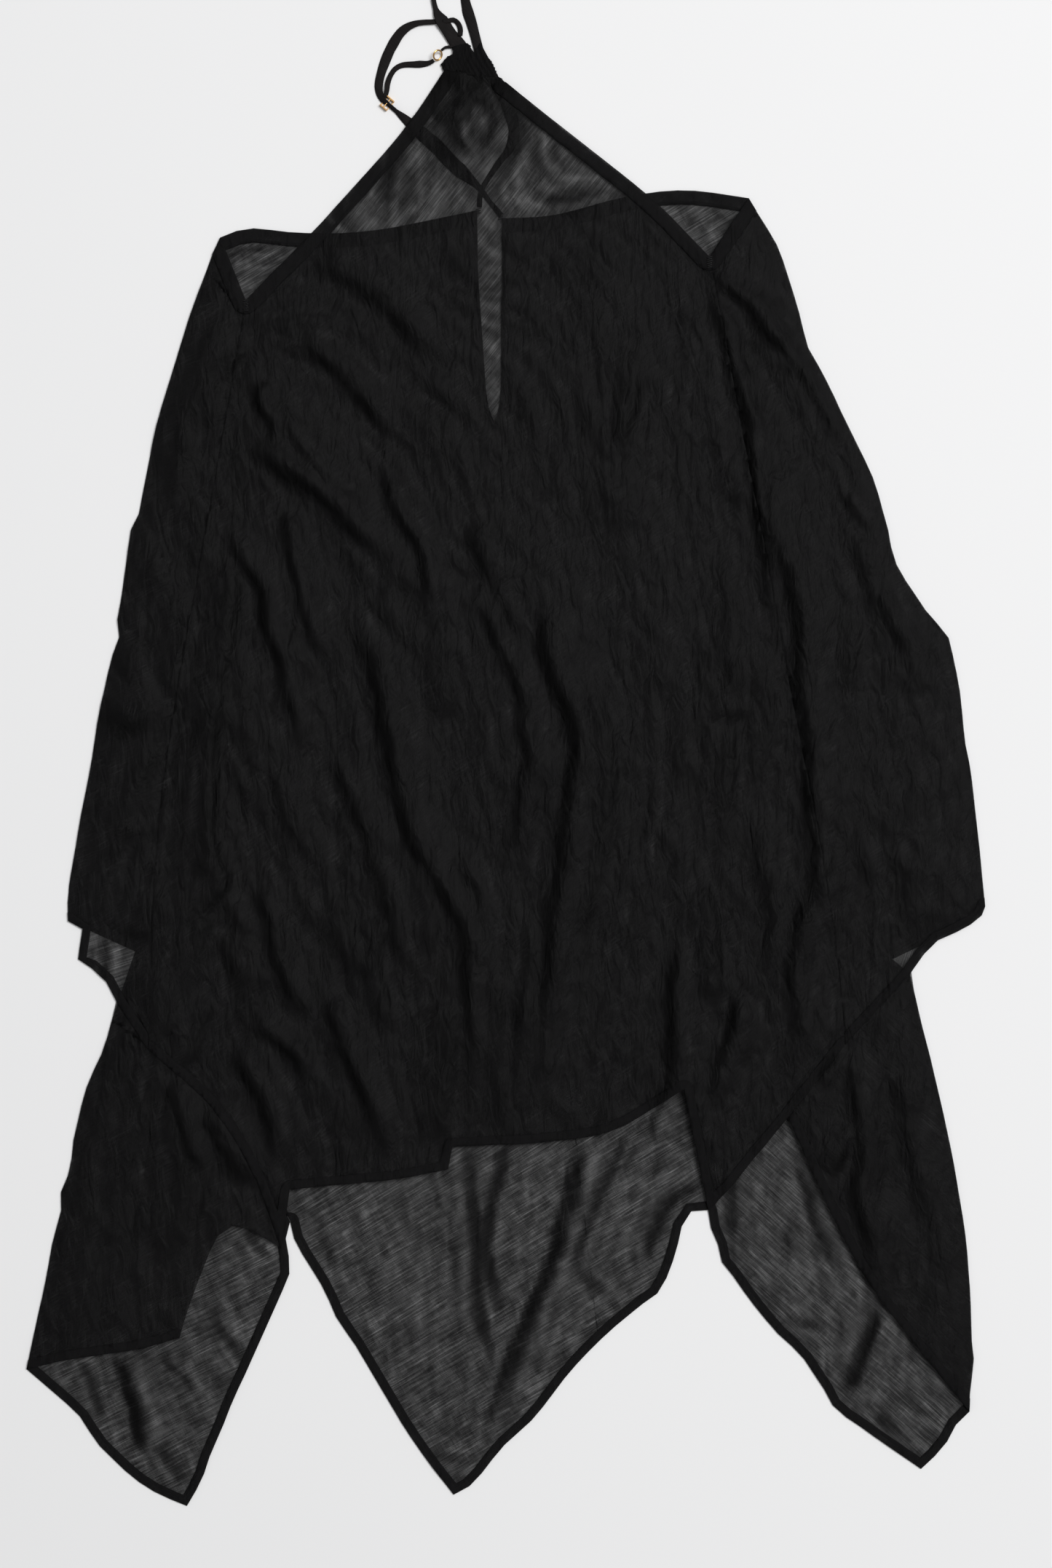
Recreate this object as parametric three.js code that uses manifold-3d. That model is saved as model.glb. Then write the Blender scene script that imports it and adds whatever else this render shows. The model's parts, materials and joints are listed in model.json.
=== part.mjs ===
// Sheer halter cape laid flat on its back panel, with an adjustable crossed back strap.
// Millimetres. +Z is up from the surface it lies on, +Y runs from the hem to the neck.
// The origin is the middle of the resting cloth, on the surface.

import * as THREE from 'three';
import { mergeVertices } from 'three/addons/utils/BufferGeometryUtils.js';
import Module from 'manifold-3d';

const wasm = await Module();
wasm.setup();

// ---- Driving dimensions -------------------------------------------------------------------

const LENGTH_SCALE = 1;        // stretches the whole garment from neck to hem
const WIDTH_SCALE = 1;         // stretches the whole garment from side to side
const CLOTH = 2.4;             // loft of one crumpled layer of voile
const LAYER_GAP = 0.4;         // air between the back layer and the front layer
const SEAM_GAP = 0.3;          // clearance where two sewn pieces meet edge to edge
const BAND_WIDTH = 12.5;       // turned band along the armholes and the back's top edge
const BAND_PROUD = 0.4;        // how far a front band stands above the cloth
const HEM_WIDTH = 8;           // rolled hem round the handkerchief points
const SLIT_BINDING_WIDTH = 3;  // narrow binding down each side of the back slit
const STRAP_THICK = 0.9;       // flattened bias-tube strap
const NECK_STRAP_WIDTH = 10;
const BACK_STRAP_WIDTH = 7;
const RETURN_STRAP_WIDTH = 4.5;
const LOOP_STRAP_WIDTH = 2.5;  // ring loop and hanger loop
const RING_RADIUS = 4.4;       // middle of the ring's wire
const RING_WIRE = 1.5;         // wire diameter
const RING_TILT = 45;          // degrees from lying flat
const SLIDER_DEPTH = 8;        // along the strap
const SLIDER_WIRE = 1;         // bar diameter
const SLIDER_SIDE_GAP = 1;     // from the strap's edge to the slider's rail
const STRAP_CLEARANCE = 0.3;   // between the strap and the slider's bars
const TACK_SIZE = 5;           // bar tack where a strap is sewn to a slit corner
const SAMPLE = 16;             // spacing of the points along a long cloth edge
const STRAP_SAMPLE = 8;        // spacing of the points along a strap

const FRONT_BOTTOM = CLOTH + LAYER_GAP;
const FRONT_TOP = FRONT_BOTTOM + CLOTH;
const STRAP_BOTTOM = SLIDER_WIRE + STRAP_CLEARANCE;
const SLIDER_LENGTH = BACK_STRAP_WIDTH + 2 * (SLIDER_WIRE + SLIDER_SIDE_GAP);

// ---- Cloth edges ---------------------------------------------------------------------------
// Each run is one smooth stretch of an edge. Pieces that meet share the same run.

const edges = {
  leftSide: run(
    [-254, 479], [-262, 462], [-269, 442], [-282, 407], [-297, 358], [-309, 319], [-317, 284],
    [-324, 247], [-327, 232], [-335, 215], [-337, 197], [-343, 154], [-346, 137], [-344, 124],
    [-352, 100], [-363, 50], [-370, 6], [-378, -34], [-385, -76], [-390, -106], [-390, -131],
  ),
  rightSide: run(
    [217, 514], [226, 499], [238, 480], [245, 466], [253, 442], [262, 412], [270, 381], [279, 365],
    [291, 342], [303, 316], [316, 290], [329, 262], [337, 234], [343, 212], [346, 194], [357, 173],
    [370, 154], [380, 139], [390, 130], [397, 118], [400, 102], [405, 78], [408, 52], [410, 30],
    [415, 4], [419, -30], [423, -65], [426, -95], [428, -118],
  ),

  backTopLeft: run([-254, 479], [-228, 487], [-181, 483], [-118, 485], [-25, 503]),
  backTopRight: run([-3, 496], [44, 499], [107, 515], [160, 521], [217, 514]),
  slitLeft: run([-25, 503], [-24.5, 450], [-21, 400], [-18, 350], [-15, 327], [-9.5, 313]),
  slitRight: run([-9.5, 313], [-5.5, 327], [-3.5, 350], [-3.5, 400], [-2.5, 450], [-3, 496]),

  armholeLeft: run([-54, 628], [-92, 573], [-162, 494], [-231, 422]),
  armholeRight: run([0, 617], [43, 583], [125, 518], [182, 461]),
  sideTopLeft: run([-254, 479], [-231, 422]),
  sideTopRight: run([217, 514], [182, 461]),
  casingSeam: run([-54, 628], [0, 617]),

  sideSeamLeft: run([-231, 422], [-263, 236], [-307, -24], [-318, -245]),
  sideSeamRight: run([182, 461], [233, 197], [290, -121], [303, -241]),

  backHemLeft: corners([-390, -131], [-330, -158]),
  backHemRight: corners([428, -118], [415, -132], [345, -165]),
  wingSeamLeft: run([-330, -158], [-192, -399]),
  wingSeamRight: run([345, -165], [181, -389]),

  sideHemLeft: corners([-390, -131], [-377, -138], [-381, -165], [-369, -173], [-356, -185], [-346, -204]),
  sideHemLeftLow: corners([-346, -204], [-318, -245]),
  frontHemLeft: run([-318, -245], [-261, -297], [-226, -352], [-200, -423]),
  frontHemLeftRise: run([-200, -423], [-192, -370]),
  frontHemMiddle: run([-192, -370], [-107, -362], [-51, -352]),
  frontHemPleat: run([-51, -352], [-47, -332]),
  frontHemRight: run([-47, -332], [43, -327], [99, -316], [159, -280]),
  frontHemRightDrop: run([159, -280], [181, -389]),
  frontHemCorner: run([181, -389], [202, -366], [252, -306], [303, -241]),
  sideHemRightLow: run([303, -241], [361, -178]),
  sideHemRight: corners(
    [361, -178], [374, -160], [386, -148], [402, -141], [415, -134], [425, -126], [428, -118],
  ),

  pointLeft: run(
    [-192, -399], [-187, -418], [-176, -436], [-161, -461], [-150, -486], [-134, -509],
    [-112, -546], [-90, -583], [-70, -612], [-46, -643],
  ),
  pointRight: run(
    [-46, -643], [-28, -632], [-2, -600], [26, -574], [58, -533], [90, -500], [121, -474],
    [138, -461], [146, -444], [153, -424], [157, -405], [164, -392], [173, -387], [181, -389],
  ),

  wingLeftOuter: run(
    [-346, -204], [-352, -223], [-358, -245], [-367, -264], [-375, -284], [-380, -305],
    [-386, -331], [-388, -353], [-396, -370], [-396, -388], [-404, -418], [-411, -457],
    [-419, -492], [-427, -531],
  ),
  wingLeftHem: run(
    [-427, -531], [-412, -544], [-397, -557], [-382, -570], [-373, -583], [-365, -596],
    [-354, -607], [-341, -620], [-325, -633], [-308, -643], [-284, -653],
  ),
  wingLeftInner: run(
    [-284, -653], [-271, -630], [-263, -607], [-254, -587], [-243, -559], [-230, -531],
    [-213, -492], [-201, -466], [-192, -444], [-192, -434], [-196, -422], [-195, -409],
    [-192, -399],
  ),
  wingLeftFold: run([-427, -531], [-404, -525], [-386, -521], [-351, -516], [-321, -511], [-290, -502]),
  wingLeftFoldRise: run([-290, -502], [-283, -478], [-269, -440], [-254, -409], [-234, -403], [-200, -423]),

  wingRightOuter: run(
    [361, -178], [372, -225], [381, -260], [392, -308], [400, -347], [408, -394], [412, -425],
    [415, -468], [416, -503], [418, -526], [415, -546], [414, -569],
  ),
  wingRightHem: run([414, -569], [405, -576], [394, -596], [381, -611], [371, -620]),
  wingRightInner: run(
    [371, -620], [348, -604], [329, -591], [311, -578], [295, -567], [284, -548], [272, -530],
    [262, -516], [246, -502], [231, -485], [216, -466], [200, -443], [192, -433], [190, -420],
    [183, -403], [181, -389],
  ),
  wingRightFold: run([252, -306], [293, -397], [334, -468], [414, -569]),
};

// Strap routes, from end to end. Hand-placed points.
const routes = {
  neck: [
    [-38, 646], [-48, 659], [-55, 670], [-61, 680], [-64, 692], [-66, 711], [-68, 743], [-68, 776],
    [-62, 803], [-48, 815], [-34, 803], [-28, 780], [-28, 750], [-32, 721], [-36, 698], [-34, 683],
    [-30, 670], [-27, 659], [-23, 644],
  ],
  adjuster: [
    [-60, 671.5], [-79, 670], [-92, 663], [-102, 648], [-109, 631], [-112.5, 618], [-112.5, 609],
    [-109.5, 602], [-105.5, 598.5], [-98, 592], [-88, 583.4], [-78, 574.8], [-68, 566.1],
    [-60, 559], [-48, 546], [-25, 525], [-14, 511], [-3.6, 498.6],
  ],
  crossed: [
    [-17, 627], [-3, 607], [4, 592], [8, 574], [4, 558], [-6, 545], [-17, 529], [-22, 518],
    [-23, 506],
  ],
  returning: [
    [-105.5, 610], [-104.9, 616], [-102.6, 623], [-98, 629.5], [-91, 632.8], [-79, 633.3], [-69, 634.2],
    [-63.6, 636.5], [-60.2, 641],
  ],
  ringLoop: [[-60.2, 641], [-56.8, 645.5], [-53, 648.5], [-46, 649]],
  hanger: [[-47.5, 672.5], [-44, 675.5], [-39.5, 673], [-37, 667], [-37.5, 661], [-40.2, 659.3]],
};

const casingOutline = [
  [-56.5, 634], [-51.5, 640], [-47, 642], [-46, 649], [-34, 652], [-28, 644], [-22, 652],
  [-6, 622], [0, 617], [-54, 628],
];

const RING_CENTRE = place([-60.2, 641]);
const SLIDER_REST = place([-105.5, 598.5]);
const SLIDER_TRAVEL_TO = place([-88, 583.4]);

// ---- Finishes ------------------------------------------------------------------------------

const finishes = {
  voile: { color: 0x2a2a2d, roughness: 0.85, metalness: 0 },
  turnedEdge: { color: 0x141416, roughness: 0.9, metalness: 0 },
  strap: { color: 0x1b1b1d, roughness: 0.85, metalness: 0 },
  thread: { color: 0x0e0e10, roughness: 0.7, metalness: 0 },
  gilt: { color: 0xc79a4b, roughness: 0.3, metalness: 1 },
};

// ---- Shape helpers -------------------------------------------------------------------------

function place([x, y]) {
  return new THREE.Vector2(x * WIDTH_SCALE, y * LENGTH_SCALE);
}

// A smooth edge through the points, as evenly spaced points.
function run(...points) {
  return spaced(points, SAMPLE);
}

// An edge with a corner at every point.
function corners(...points) {
  return points.map(place);
}

function spaced(points, step) {
  const placed = points.map(place);
  if (placed.length === 2) {
    return placed;
  }
  const curve = new THREE.SplineCurve(placed);
  return curve.getSpacedPoints(Math.max(2, Math.round(curve.getLength() / step)));
}

function reversed(points) {
  return [...points].reverse();
}

// Joins runs into one closed outline, without the doubled points where they meet.
function outline(...runs) {
  const all = runs.flat();
  return all.filter((point, i) => point.distanceTo(all[(i + 1) % all.length]) > 0.05);
}

function plate(points, bottom, thickness) {
  const shape = new THREE.Shape(points);
  const geometry = new THREE.ExtrudeGeometry(shape, { depth: thickness, bevelEnabled: false });
  geometry.translate(0, 0, bottom);
  return geometry;
}

// The outline of a ribbon of one width that follows the points.
function ribbonOutline(points, width) {
  const left = [];
  const right = [];
  points.forEach((point, i) => {
    const before = points[Math.max(i - 1, 0)];
    const after = points[Math.min(i + 1, points.length - 1)];
    const along = after.clone().sub(before).normalize();
    const across = new THREE.Vector2(-along.y, along.x).multiplyScalar(width / 2);
    left.push(point.clone().add(across));
    right.push(point.clone().sub(across));
  });
  return [...right, ...reversed(left)];
}

function solid(geometry) {
  const bare = geometry.clone();
  bare.deleteAttribute('normal');
  bare.deleteAttribute('uv');
  const merged = mergeVertices(bare, 1e-4);
  return new wasm.Manifold(new wasm.Mesh({
    numProp: 3,
    vertProperties: new Float32Array(merged.attributes.position.array),
    triVerts: new Uint32Array(merged.index.array),
  }));
}

function geometryOf(manifold) {
  const mesh = manifold.getMesh();
  const geometry = new THREE.BufferGeometry();
  geometry.setAttribute('position', new THREE.BufferAttribute(new Float32Array(mesh.vertProperties), 3));
  geometry.setIndex(new THREE.BufferAttribute(new Uint32Array(mesh.triVerts), 1));
  return geometry;
}

function joined(solids) {
  return solids.reduce((sum, next) => sum.add(next));
}

// Everything within a given reach of some edge runs, at one level.
function margin(runs, reach, bottom, thickness) {
  const pieces = runs.flatMap((points) => {
    const strip = solid(plate(ribbonOutline(points, 2 * reach), bottom, thickness));
    const ends = [points[0], points[points.length - 1]];
    return [strip, ...ends.map((end) => disc(end, reach, bottom, thickness))];
  });
  return joined(pieces);
}

function disc(centre, radius, bottom, thickness) {
  const geometry = new THREE.CylinderGeometry(radius, radius, thickness, 16);
  geometry.rotateX(Math.PI / 2);
  geometry.translate(centre.x, centre.y, bottom + thickness / 2);
  return solid(geometry);
}

// ---- Parts ---------------------------------------------------------------------------------

const garment = new THREE.Group();

function addPart(name, geometry, finish) {
  const mesh = new THREE.Mesh(geometry, new THREE.MeshStandardMaterial(finishes[finish]));
  mesh.name = name;
  garment.add(mesh);
  return mesh;
}

// Splits a panel into its cloth, its bands and its hems. Each strip is as wide as it says and
// follows its runs; the cloth is what is left, a seam gap away from them.
function addPanel(name, points, bottom, strips, cutters = []) {
  const high = CLOTH + BAND_PROUD;
  let cloth = solid(plate(points, bottom, CLOTH));
  const tall = solid(plate(points, bottom, high));
  const trims = cutters.map((cutter) => cutter(bottom, high));
  trims.forEach((trim) => {
    cloth = cloth.subtract(trim);
  });
  let taken = null;
  strips.forEach((strip) => {
    const thickness = bottom === 0 ? CLOTH : high;
    let shape = margin(strip.runs, strip.width, bottom, thickness).intersect(tall);
    trims.forEach((trim) => {
      shape = shape.subtract(trim);
    });
    if (taken) {
      shape = shape.subtract(taken);
    }
    addPart(strip.name, geometryOf(shape), 'turnedEdge');
    const cut = margin(strip.runs, strip.width + SEAM_GAP, bottom - 1, high + 2);
    taken = taken ? taken.add(cut) : cut;
  });
  if (taken) {
    cloth = cloth.subtract(taken);
  }
  addPart(name, geometryOf(cloth), 'voile');
}

// Keeps a seam gap between a piece and the runs that it meets.
function seam(...runs) {
  return (bottom, thickness) => margin(runs, SEAM_GAP / 2, bottom - 1, thickness + 2);
}

function aroundCasing(bottom, thickness) {
  const points = casingOutline.map(place);
  const sides = points.map((point, i) => [point, points[(i + 1) % points.length]]);
  const core = solid(plate(points, bottom - 1, thickness + 2));
  return core.add(margin(sides, SEAM_GAP, bottom - 1, thickness + 2));
}

function tackSpace(corner, clearance) {
  return (bottom, thickness) => {
    const size = TACK_SIZE + 2 * clearance;
    const box = new THREE.BoxGeometry(size, size, thickness);
    box.translate(corner.x, corner.y, bottom + thickness / 2);
    return solid(box);
  };
}

const slitTacks = {
  left: edges.slitLeft[0].clone().add(new THREE.Vector2(1, -1)),
  right: edges.slitRight.at(-1).clone().add(new THREE.Vector2(-1, 1)),
};

function addBackPanel() {
  const e = edges;
  const points = outline(
    e.backTopLeft, e.slitLeft, e.slitRight, e.backTopRight, e.rightSide, e.backHemRight, e.wingSeamRight,
    reversed(e.pointRight), reversed(e.pointLeft), reversed(e.wingSeamLeft), reversed(e.backHemLeft),
    reversed(e.leftSide),
  );
  addPanel('back_panel', points, 0, [
    { name: 'back_band_left', runs: [e.backTopLeft], width: BAND_WIDTH },
    { name: 'back_band_right', runs: [e.backTopRight], width: BAND_WIDTH },
    { name: 'slit_binding_left', runs: [e.slitLeft], width: SLIT_BINDING_WIDTH },
    { name: 'slit_binding_right', runs: [e.slitRight], width: SLIT_BINDING_WIDTH },
    { name: 'back_point_hem', runs: [e.pointLeft, e.pointRight], width: HEM_WIDTH },
  ], [
    seam(e.wingSeamLeft, e.wingSeamRight),
    tackSpace(slitTacks.left, SEAM_GAP),
    tackSpace(slitTacks.right, SEAM_GAP),
  ]);
}

function addFrontPanel() {
  const e = edges;
  const hem = [
    e.frontHemLeft, e.frontHemLeftRise, e.frontHemMiddle, e.frontHemPleat, e.frontHemRight,
    e.frontHemRightDrop, e.frontHemCorner,
  ];
  const points = outline(
    e.armholeLeft, e.sideSeamLeft, ...hem, reversed(e.sideSeamRight), reversed(e.armholeRight),
    reversed(e.casingSeam),
  );
  addPanel('front_panel', points, FRONT_BOTTOM, [
    { name: 'armhole_band_left', runs: [e.armholeLeft], width: BAND_WIDTH },
    { name: 'armhole_band_right', runs: [e.armholeRight], width: BAND_WIDTH },
    { name: 'front_hem', runs: hem, width: HEM_WIDTH },
  ], [seam(e.sideSeamLeft, e.sideSeamRight), aroundCasing]);
}

function addSidePanel(side, top, fold, hem, hemLow, sideSeam) {
  const points = outline(fold, hem, hemLow, reversed(sideSeam), reversed(top));
  addPanel(`side_panel_${side}`, points, FRONT_BOTTOM, [
    { name: `side_band_${side}`, runs: [top], width: BAND_WIDTH },
    { name: `side_hem_${side}`, runs: [hem, hemLow], width: HEM_WIDTH },
  ], [seam(sideSeam)]);
}

function addWings() {
  const e = edges;
  addPanel('wing_left_under', outline(
    e.wingLeftOuter, e.wingLeftHem, e.wingLeftInner, reversed(e.wingSeamLeft),
  ), 0, [
    { name: 'wing_hem_left', runs: [e.wingLeftHem, e.wingLeftInner], width: HEM_WIDTH },
  ], [seam(e.wingSeamLeft)]);
  addPanel('wing_right_under', outline(
    e.wingRightOuter, e.wingRightHem, e.wingRightInner, reversed(e.wingSeamRight),
  ), 0, [
    { name: 'wing_hem_right', runs: [e.wingRightHem, e.wingRightInner], width: HEM_WIDTH },
  ], [seam(e.wingSeamRight)]);
  addPanel('wing_left_over', outline(
    e.wingLeftOuter, e.wingLeftFold, e.wingLeftFoldRise, reversed(e.frontHemLeft),
    reversed(e.sideHemLeftLow),
  ), FRONT_BOTTOM, [
    { name: 'wing_fold_hem_left', runs: [e.wingLeftFold], width: HEM_WIDTH },
  ], [seam(e.frontHemLeft, e.sideHemLeftLow)]);
  const low = e.frontHemCorner.filter((point) => point.x >= e.wingRightFold[0].x);
  addPanel('wing_right_over', outline(
    e.wingRightOuter, reversed(e.wingRightFold), low, e.sideHemRightLow,
  ), FRONT_BOTTOM, [
    { name: 'wing_fold_hem_right', runs: [e.wingRightFold], width: HEM_WIDTH },
  ], [seam(e.frontHemCorner, e.sideHemRightLow)]);
}

function addCasing() {
  const points = casingOutline.map(place);
  addPart('neck_casing', plate(points, 0, FRONT_TOP), 'turnedEdge');
}

function ribbonSolid(route, width, bottom, thickness) {
  return solid(plate(ribbonOutline(spaced(route, STRAP_SAMPLE), width), bottom, thickness));
}

// A flat strap along its route, trimmed back from what its ends are sewn to.
function addStrap(name, route, width, bottom, cutters = []) {
  let shape = ribbonSolid(route, width, bottom, STRAP_THICK);
  cutters.forEach((cutter) => {
    shape = shape.subtract(cutter(bottom, STRAP_THICK));
  });
  addPart(name, geometryOf(shape), 'strap');
}

function aroundNeckStrap(bottom, thickness) {
  return ribbonSolid(routes.neck, NECK_STRAP_WIDTH + 2 * SEAM_GAP, bottom - 1, thickness + 2);
}

function aroundAdjusterStrap(bottom, thickness) {
  return ribbonSolid(routes.adjuster, BACK_STRAP_WIDTH + 2 * SEAM_GAP, bottom - 1, thickness + 2);
}

function aroundRing(bottom, thickness) {
  const reach = RING_RADIUS + RING_WIRE / 2 + STRAP_CLEARANCE;
  return disc(RING_CENTRE, reach, bottom - 1, thickness + 2);
}

function aroundSlider(bottom, thickness) {
  const reach = Math.hypot(SLIDER_LENGTH, SLIDER_DEPTH) / 2 + STRAP_CLEARANCE;
  return disc(SLIDER_REST, reach, bottom - 1, thickness + 2);
}

function addStraps() {
  addStrap('neck_strap', routes.neck, NECK_STRAP_WIDTH, 0, [aroundCasing]);
  addStrap('adjuster_strap', routes.adjuster, BACK_STRAP_WIDTH, STRAP_BOTTOM, [
    aroundNeckStrap, tackSpace(slitTacks.right, SEAM_GAP),
  ]);
  addStrap('crossed_strap', routes.crossed, BACK_STRAP_WIDTH, 0, [
    aroundCasing, tackSpace(slitTacks.left, SEAM_GAP),
  ]);
  addStrap('return_strap', routes.returning, RETURN_STRAP_WIDTH, STRAP_BOTTOM, [
    aroundRing, aroundSlider, aroundAdjusterStrap,
  ]);
  addStrap('ring_loop', routes.ringLoop, LOOP_STRAP_WIDTH, STRAP_BOTTOM, [aroundRing, aroundCasing]);
  addStrap('hanger_loop', routes.hanger, LOOP_STRAP_WIDTH, 0, [aroundNeckStrap]);
}

function addTacks() {
  for (const [side, corner] of Object.entries(slitTacks)) {
    addPart(`slit_tack_${side}`, geometryOf(tackSpace(corner, 0)(0, CLOTH)), 'thread');
  }
  for (const [side, corner] of [['left', edges.armholeLeft.at(-1)], ['right', edges.armholeRight.at(-1)]]) {
    const geometry = new THREE.BoxGeometry(TACK_SIZE, 2 * TACK_SIZE, CLOTH / 2);
    const top = FRONT_TOP + BAND_PROUD + SEAM_GAP;
    geometry.translate(corner.x, corner.y - TACK_SIZE, top + CLOTH / 4);
    addPart(`underarm_tack_${side}`, geometry, 'thread');
  }
}

// The ring hangs between its loop and the strap that returns through it.
function addRing() {
  const geometry = new THREE.TorusGeometry(RING_RADIUS, RING_WIRE / 2, 10, 28);
  const ring = addPart('ring', geometry, 'gilt');
  const loop = place(routes.ringLoop[1]);
  const strap = place(routes.returning.at(-2));
  const lineAngle = Math.atan2(loop.y - strap.y, loop.x - strap.x);
  const tilt = THREE.MathUtils.degToRad(RING_TILT);
  ring.rotation.set(tilt, 0, lineAngle, 'ZXY');
  const lift = RING_RADIUS * Math.sin(tilt) + RING_WIRE / 2;
  ring.position.set(RING_CENTRE.x, RING_CENTRE.y, lift);
}

function bar(length, x, z) {
  const geometry = new THREE.CylinderGeometry(SLIDER_WIRE / 2, SLIDER_WIRE / 2, length, 12);
  geometry.translate(x, 0, z);
  return solid(geometry);
}

// Two end bars pass under the strap and the middle bar passes over it.
function addSlider() {
  const radius = SLIDER_WIRE / 2;
  const high = STRAP_BOTTOM + STRAP_THICK + STRAP_CLEARANCE + radius;
  const endReach = SLIDER_DEPTH / 2 - radius;
  const inner = SLIDER_LENGTH - SLIDER_WIRE;
  const bars = [bar(inner, -endReach, radius), bar(inner, endReach, radius), bar(inner, 0, high)];
  const rails = [-1, 1].map((side) => {
    const rail = new THREE.BoxGeometry(SLIDER_DEPTH, SLIDER_WIRE, high + radius);
    rail.translate(0, side * (SLIDER_LENGTH - SLIDER_WIRE) / 2, (high + radius) / 2);
    return solid(rail);
  });
  const slider = addPart('slider', geometryOf(joined([...rails, ...bars])), 'gilt');
  const along = SLIDER_TRAVEL_TO.clone().sub(SLIDER_REST);
  slider.position.set(SLIDER_REST.x, SLIDER_REST.y, 0);
  slider.rotation.z = Math.atan2(along.y, along.x);
}

addBackPanel();
addFrontPanel();
addSidePanel(
  'left', edges.sideTopLeft, edges.leftSide, edges.sideHemLeft, edges.sideHemLeftLow,
  edges.sideSeamLeft,
);
addSidePanel(
  'right', edges.sideTopRight, edges.rightSide, reversed(edges.sideHemRight),
  reversed(edges.sideHemRightLow), edges.sideSeamRight,
);
addWings();
addCasing();
addStraps();
addTacks();
addRing();
addSlider();

export default garment;
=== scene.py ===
"""Black voile halter cape laid flat: its cloth, bands, hems, straps and gilt fittings."""

import json
import math

import bmesh
import bpy
import numpy as np
from mathutils import Matrix, Vector
from mathutils.bvhtree import BVHTree
from mathutils.kdtree import KDTree


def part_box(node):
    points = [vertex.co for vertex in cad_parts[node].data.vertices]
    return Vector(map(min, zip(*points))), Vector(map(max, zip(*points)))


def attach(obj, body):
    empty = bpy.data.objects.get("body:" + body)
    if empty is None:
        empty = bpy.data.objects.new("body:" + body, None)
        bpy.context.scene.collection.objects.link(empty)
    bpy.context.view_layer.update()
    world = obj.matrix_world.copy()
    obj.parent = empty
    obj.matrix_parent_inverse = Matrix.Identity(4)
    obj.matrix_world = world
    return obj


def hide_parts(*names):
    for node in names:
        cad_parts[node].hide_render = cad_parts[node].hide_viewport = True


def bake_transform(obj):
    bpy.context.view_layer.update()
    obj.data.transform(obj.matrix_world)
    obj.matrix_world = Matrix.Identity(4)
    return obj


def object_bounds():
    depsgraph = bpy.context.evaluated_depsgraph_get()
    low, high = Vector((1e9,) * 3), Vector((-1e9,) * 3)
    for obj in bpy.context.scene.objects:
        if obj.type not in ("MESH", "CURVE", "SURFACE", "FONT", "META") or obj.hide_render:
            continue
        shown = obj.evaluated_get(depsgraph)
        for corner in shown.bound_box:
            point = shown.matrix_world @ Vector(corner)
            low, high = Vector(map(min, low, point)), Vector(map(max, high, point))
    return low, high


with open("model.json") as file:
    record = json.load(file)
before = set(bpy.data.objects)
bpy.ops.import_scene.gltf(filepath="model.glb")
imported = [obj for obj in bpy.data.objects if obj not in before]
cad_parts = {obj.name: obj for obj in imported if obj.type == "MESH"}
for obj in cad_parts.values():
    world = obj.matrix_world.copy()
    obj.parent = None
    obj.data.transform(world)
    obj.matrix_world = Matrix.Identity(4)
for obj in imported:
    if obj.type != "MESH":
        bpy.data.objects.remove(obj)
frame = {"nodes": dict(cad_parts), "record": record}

bl_info = {
    "name": "Halter cape",
    "version": (1, 0, 0),
    "blender": (4, 5, 0),
    "location": "3D View > Sidebar > Halter cape",
    "description": "Builds a sheer voile halter cape, laid flat, around its packed model",
    "category": "Add Mesh",
}

MM = 0.001
CAD_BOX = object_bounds()
NODES = frame["nodes"]

LOWER = 0
UPPER = 1
LOWER_TOP = 2.5 * MM  # a node that ends below this belongs to the lower layer


# ---- Settings ----------------------------------------------------------------------------


class ClothSettings(bpy.types.PropertyGroup):
    mesh_step: bpy.props.FloatProperty(
        name="Mesh step", description="Side of the squares that the cloth is cut into",
        default=0.004, min=0.003, max=0.02, unit="LENGTH",
    )
    thickness: bpy.props.FloatProperty(
        name="Voile thickness", description="Thickness of one layer of voile",
        default=0.0003, min=0.0001, max=0.001, unit="LENGTH",
    )
    turned_thickness: bpy.props.FloatProperty(
        name="Turned edge thickness", description="Thickness of a band or a rolled hem",
        default=0.0007, min=0.0002, max=0.002, unit="LENGTH",
    )
    layer_gap: bpy.props.FloatProperty(
        name="Layer gap", description="Air between the lower and the upper layer",
        default=0.0013, min=0.0005, max=0.01, unit="LENGTH",
    )
    fold_height: bpy.props.FloatProperty(
        name="Fold height", description="How high a strong fold stands",
        default=0.0085, min=0.0, max=0.02, unit="LENGTH",
    )
    crumple_height: bpy.props.FloatProperty(
        name="Crumple height", description="Height of the small creases all over the cloth",
        default=0.0032, min=0.0, max=0.01, unit="LENGTH",
    )
    voile_colour: bpy.props.FloatVectorProperty(
        name="Voile", description="Colour of the voile's yarn", subtype="COLOR", size=3,
        default=(0.0052, 0.0051, 0.0053), min=0.0, max=1.0,
    )
    see_through: bpy.props.FloatProperty(
        name="See-through share", description="Share of light that one layer of voile lets by",
        default=0.205, min=0.01, max=0.9, subtype="FACTOR",
    )


class StrapSettings(bpy.types.PropertyGroup):
    thickness: bpy.props.FloatProperty(
        name="Strap thickness", description="Thickness of the pressed bias tube",
        default=0.0012, min=0.0004, max=0.003, unit="LENGTH",
    )
    colour: bpy.props.FloatVectorProperty(
        name="Strap", description="Colour of the straps", subtype="COLOR", size=3,
        default=(0.0070, 0.0063, 0.0063), min=0.0, max=1.0,
    )
    gilt_colour: bpy.props.FloatVectorProperty(
        name="Gilt", description="Colour of the ring and the slider", subtype="COLOR", size=3,
        default=(0.60, 0.36, 0.14), min=0.0, max=1.0,
    )


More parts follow.
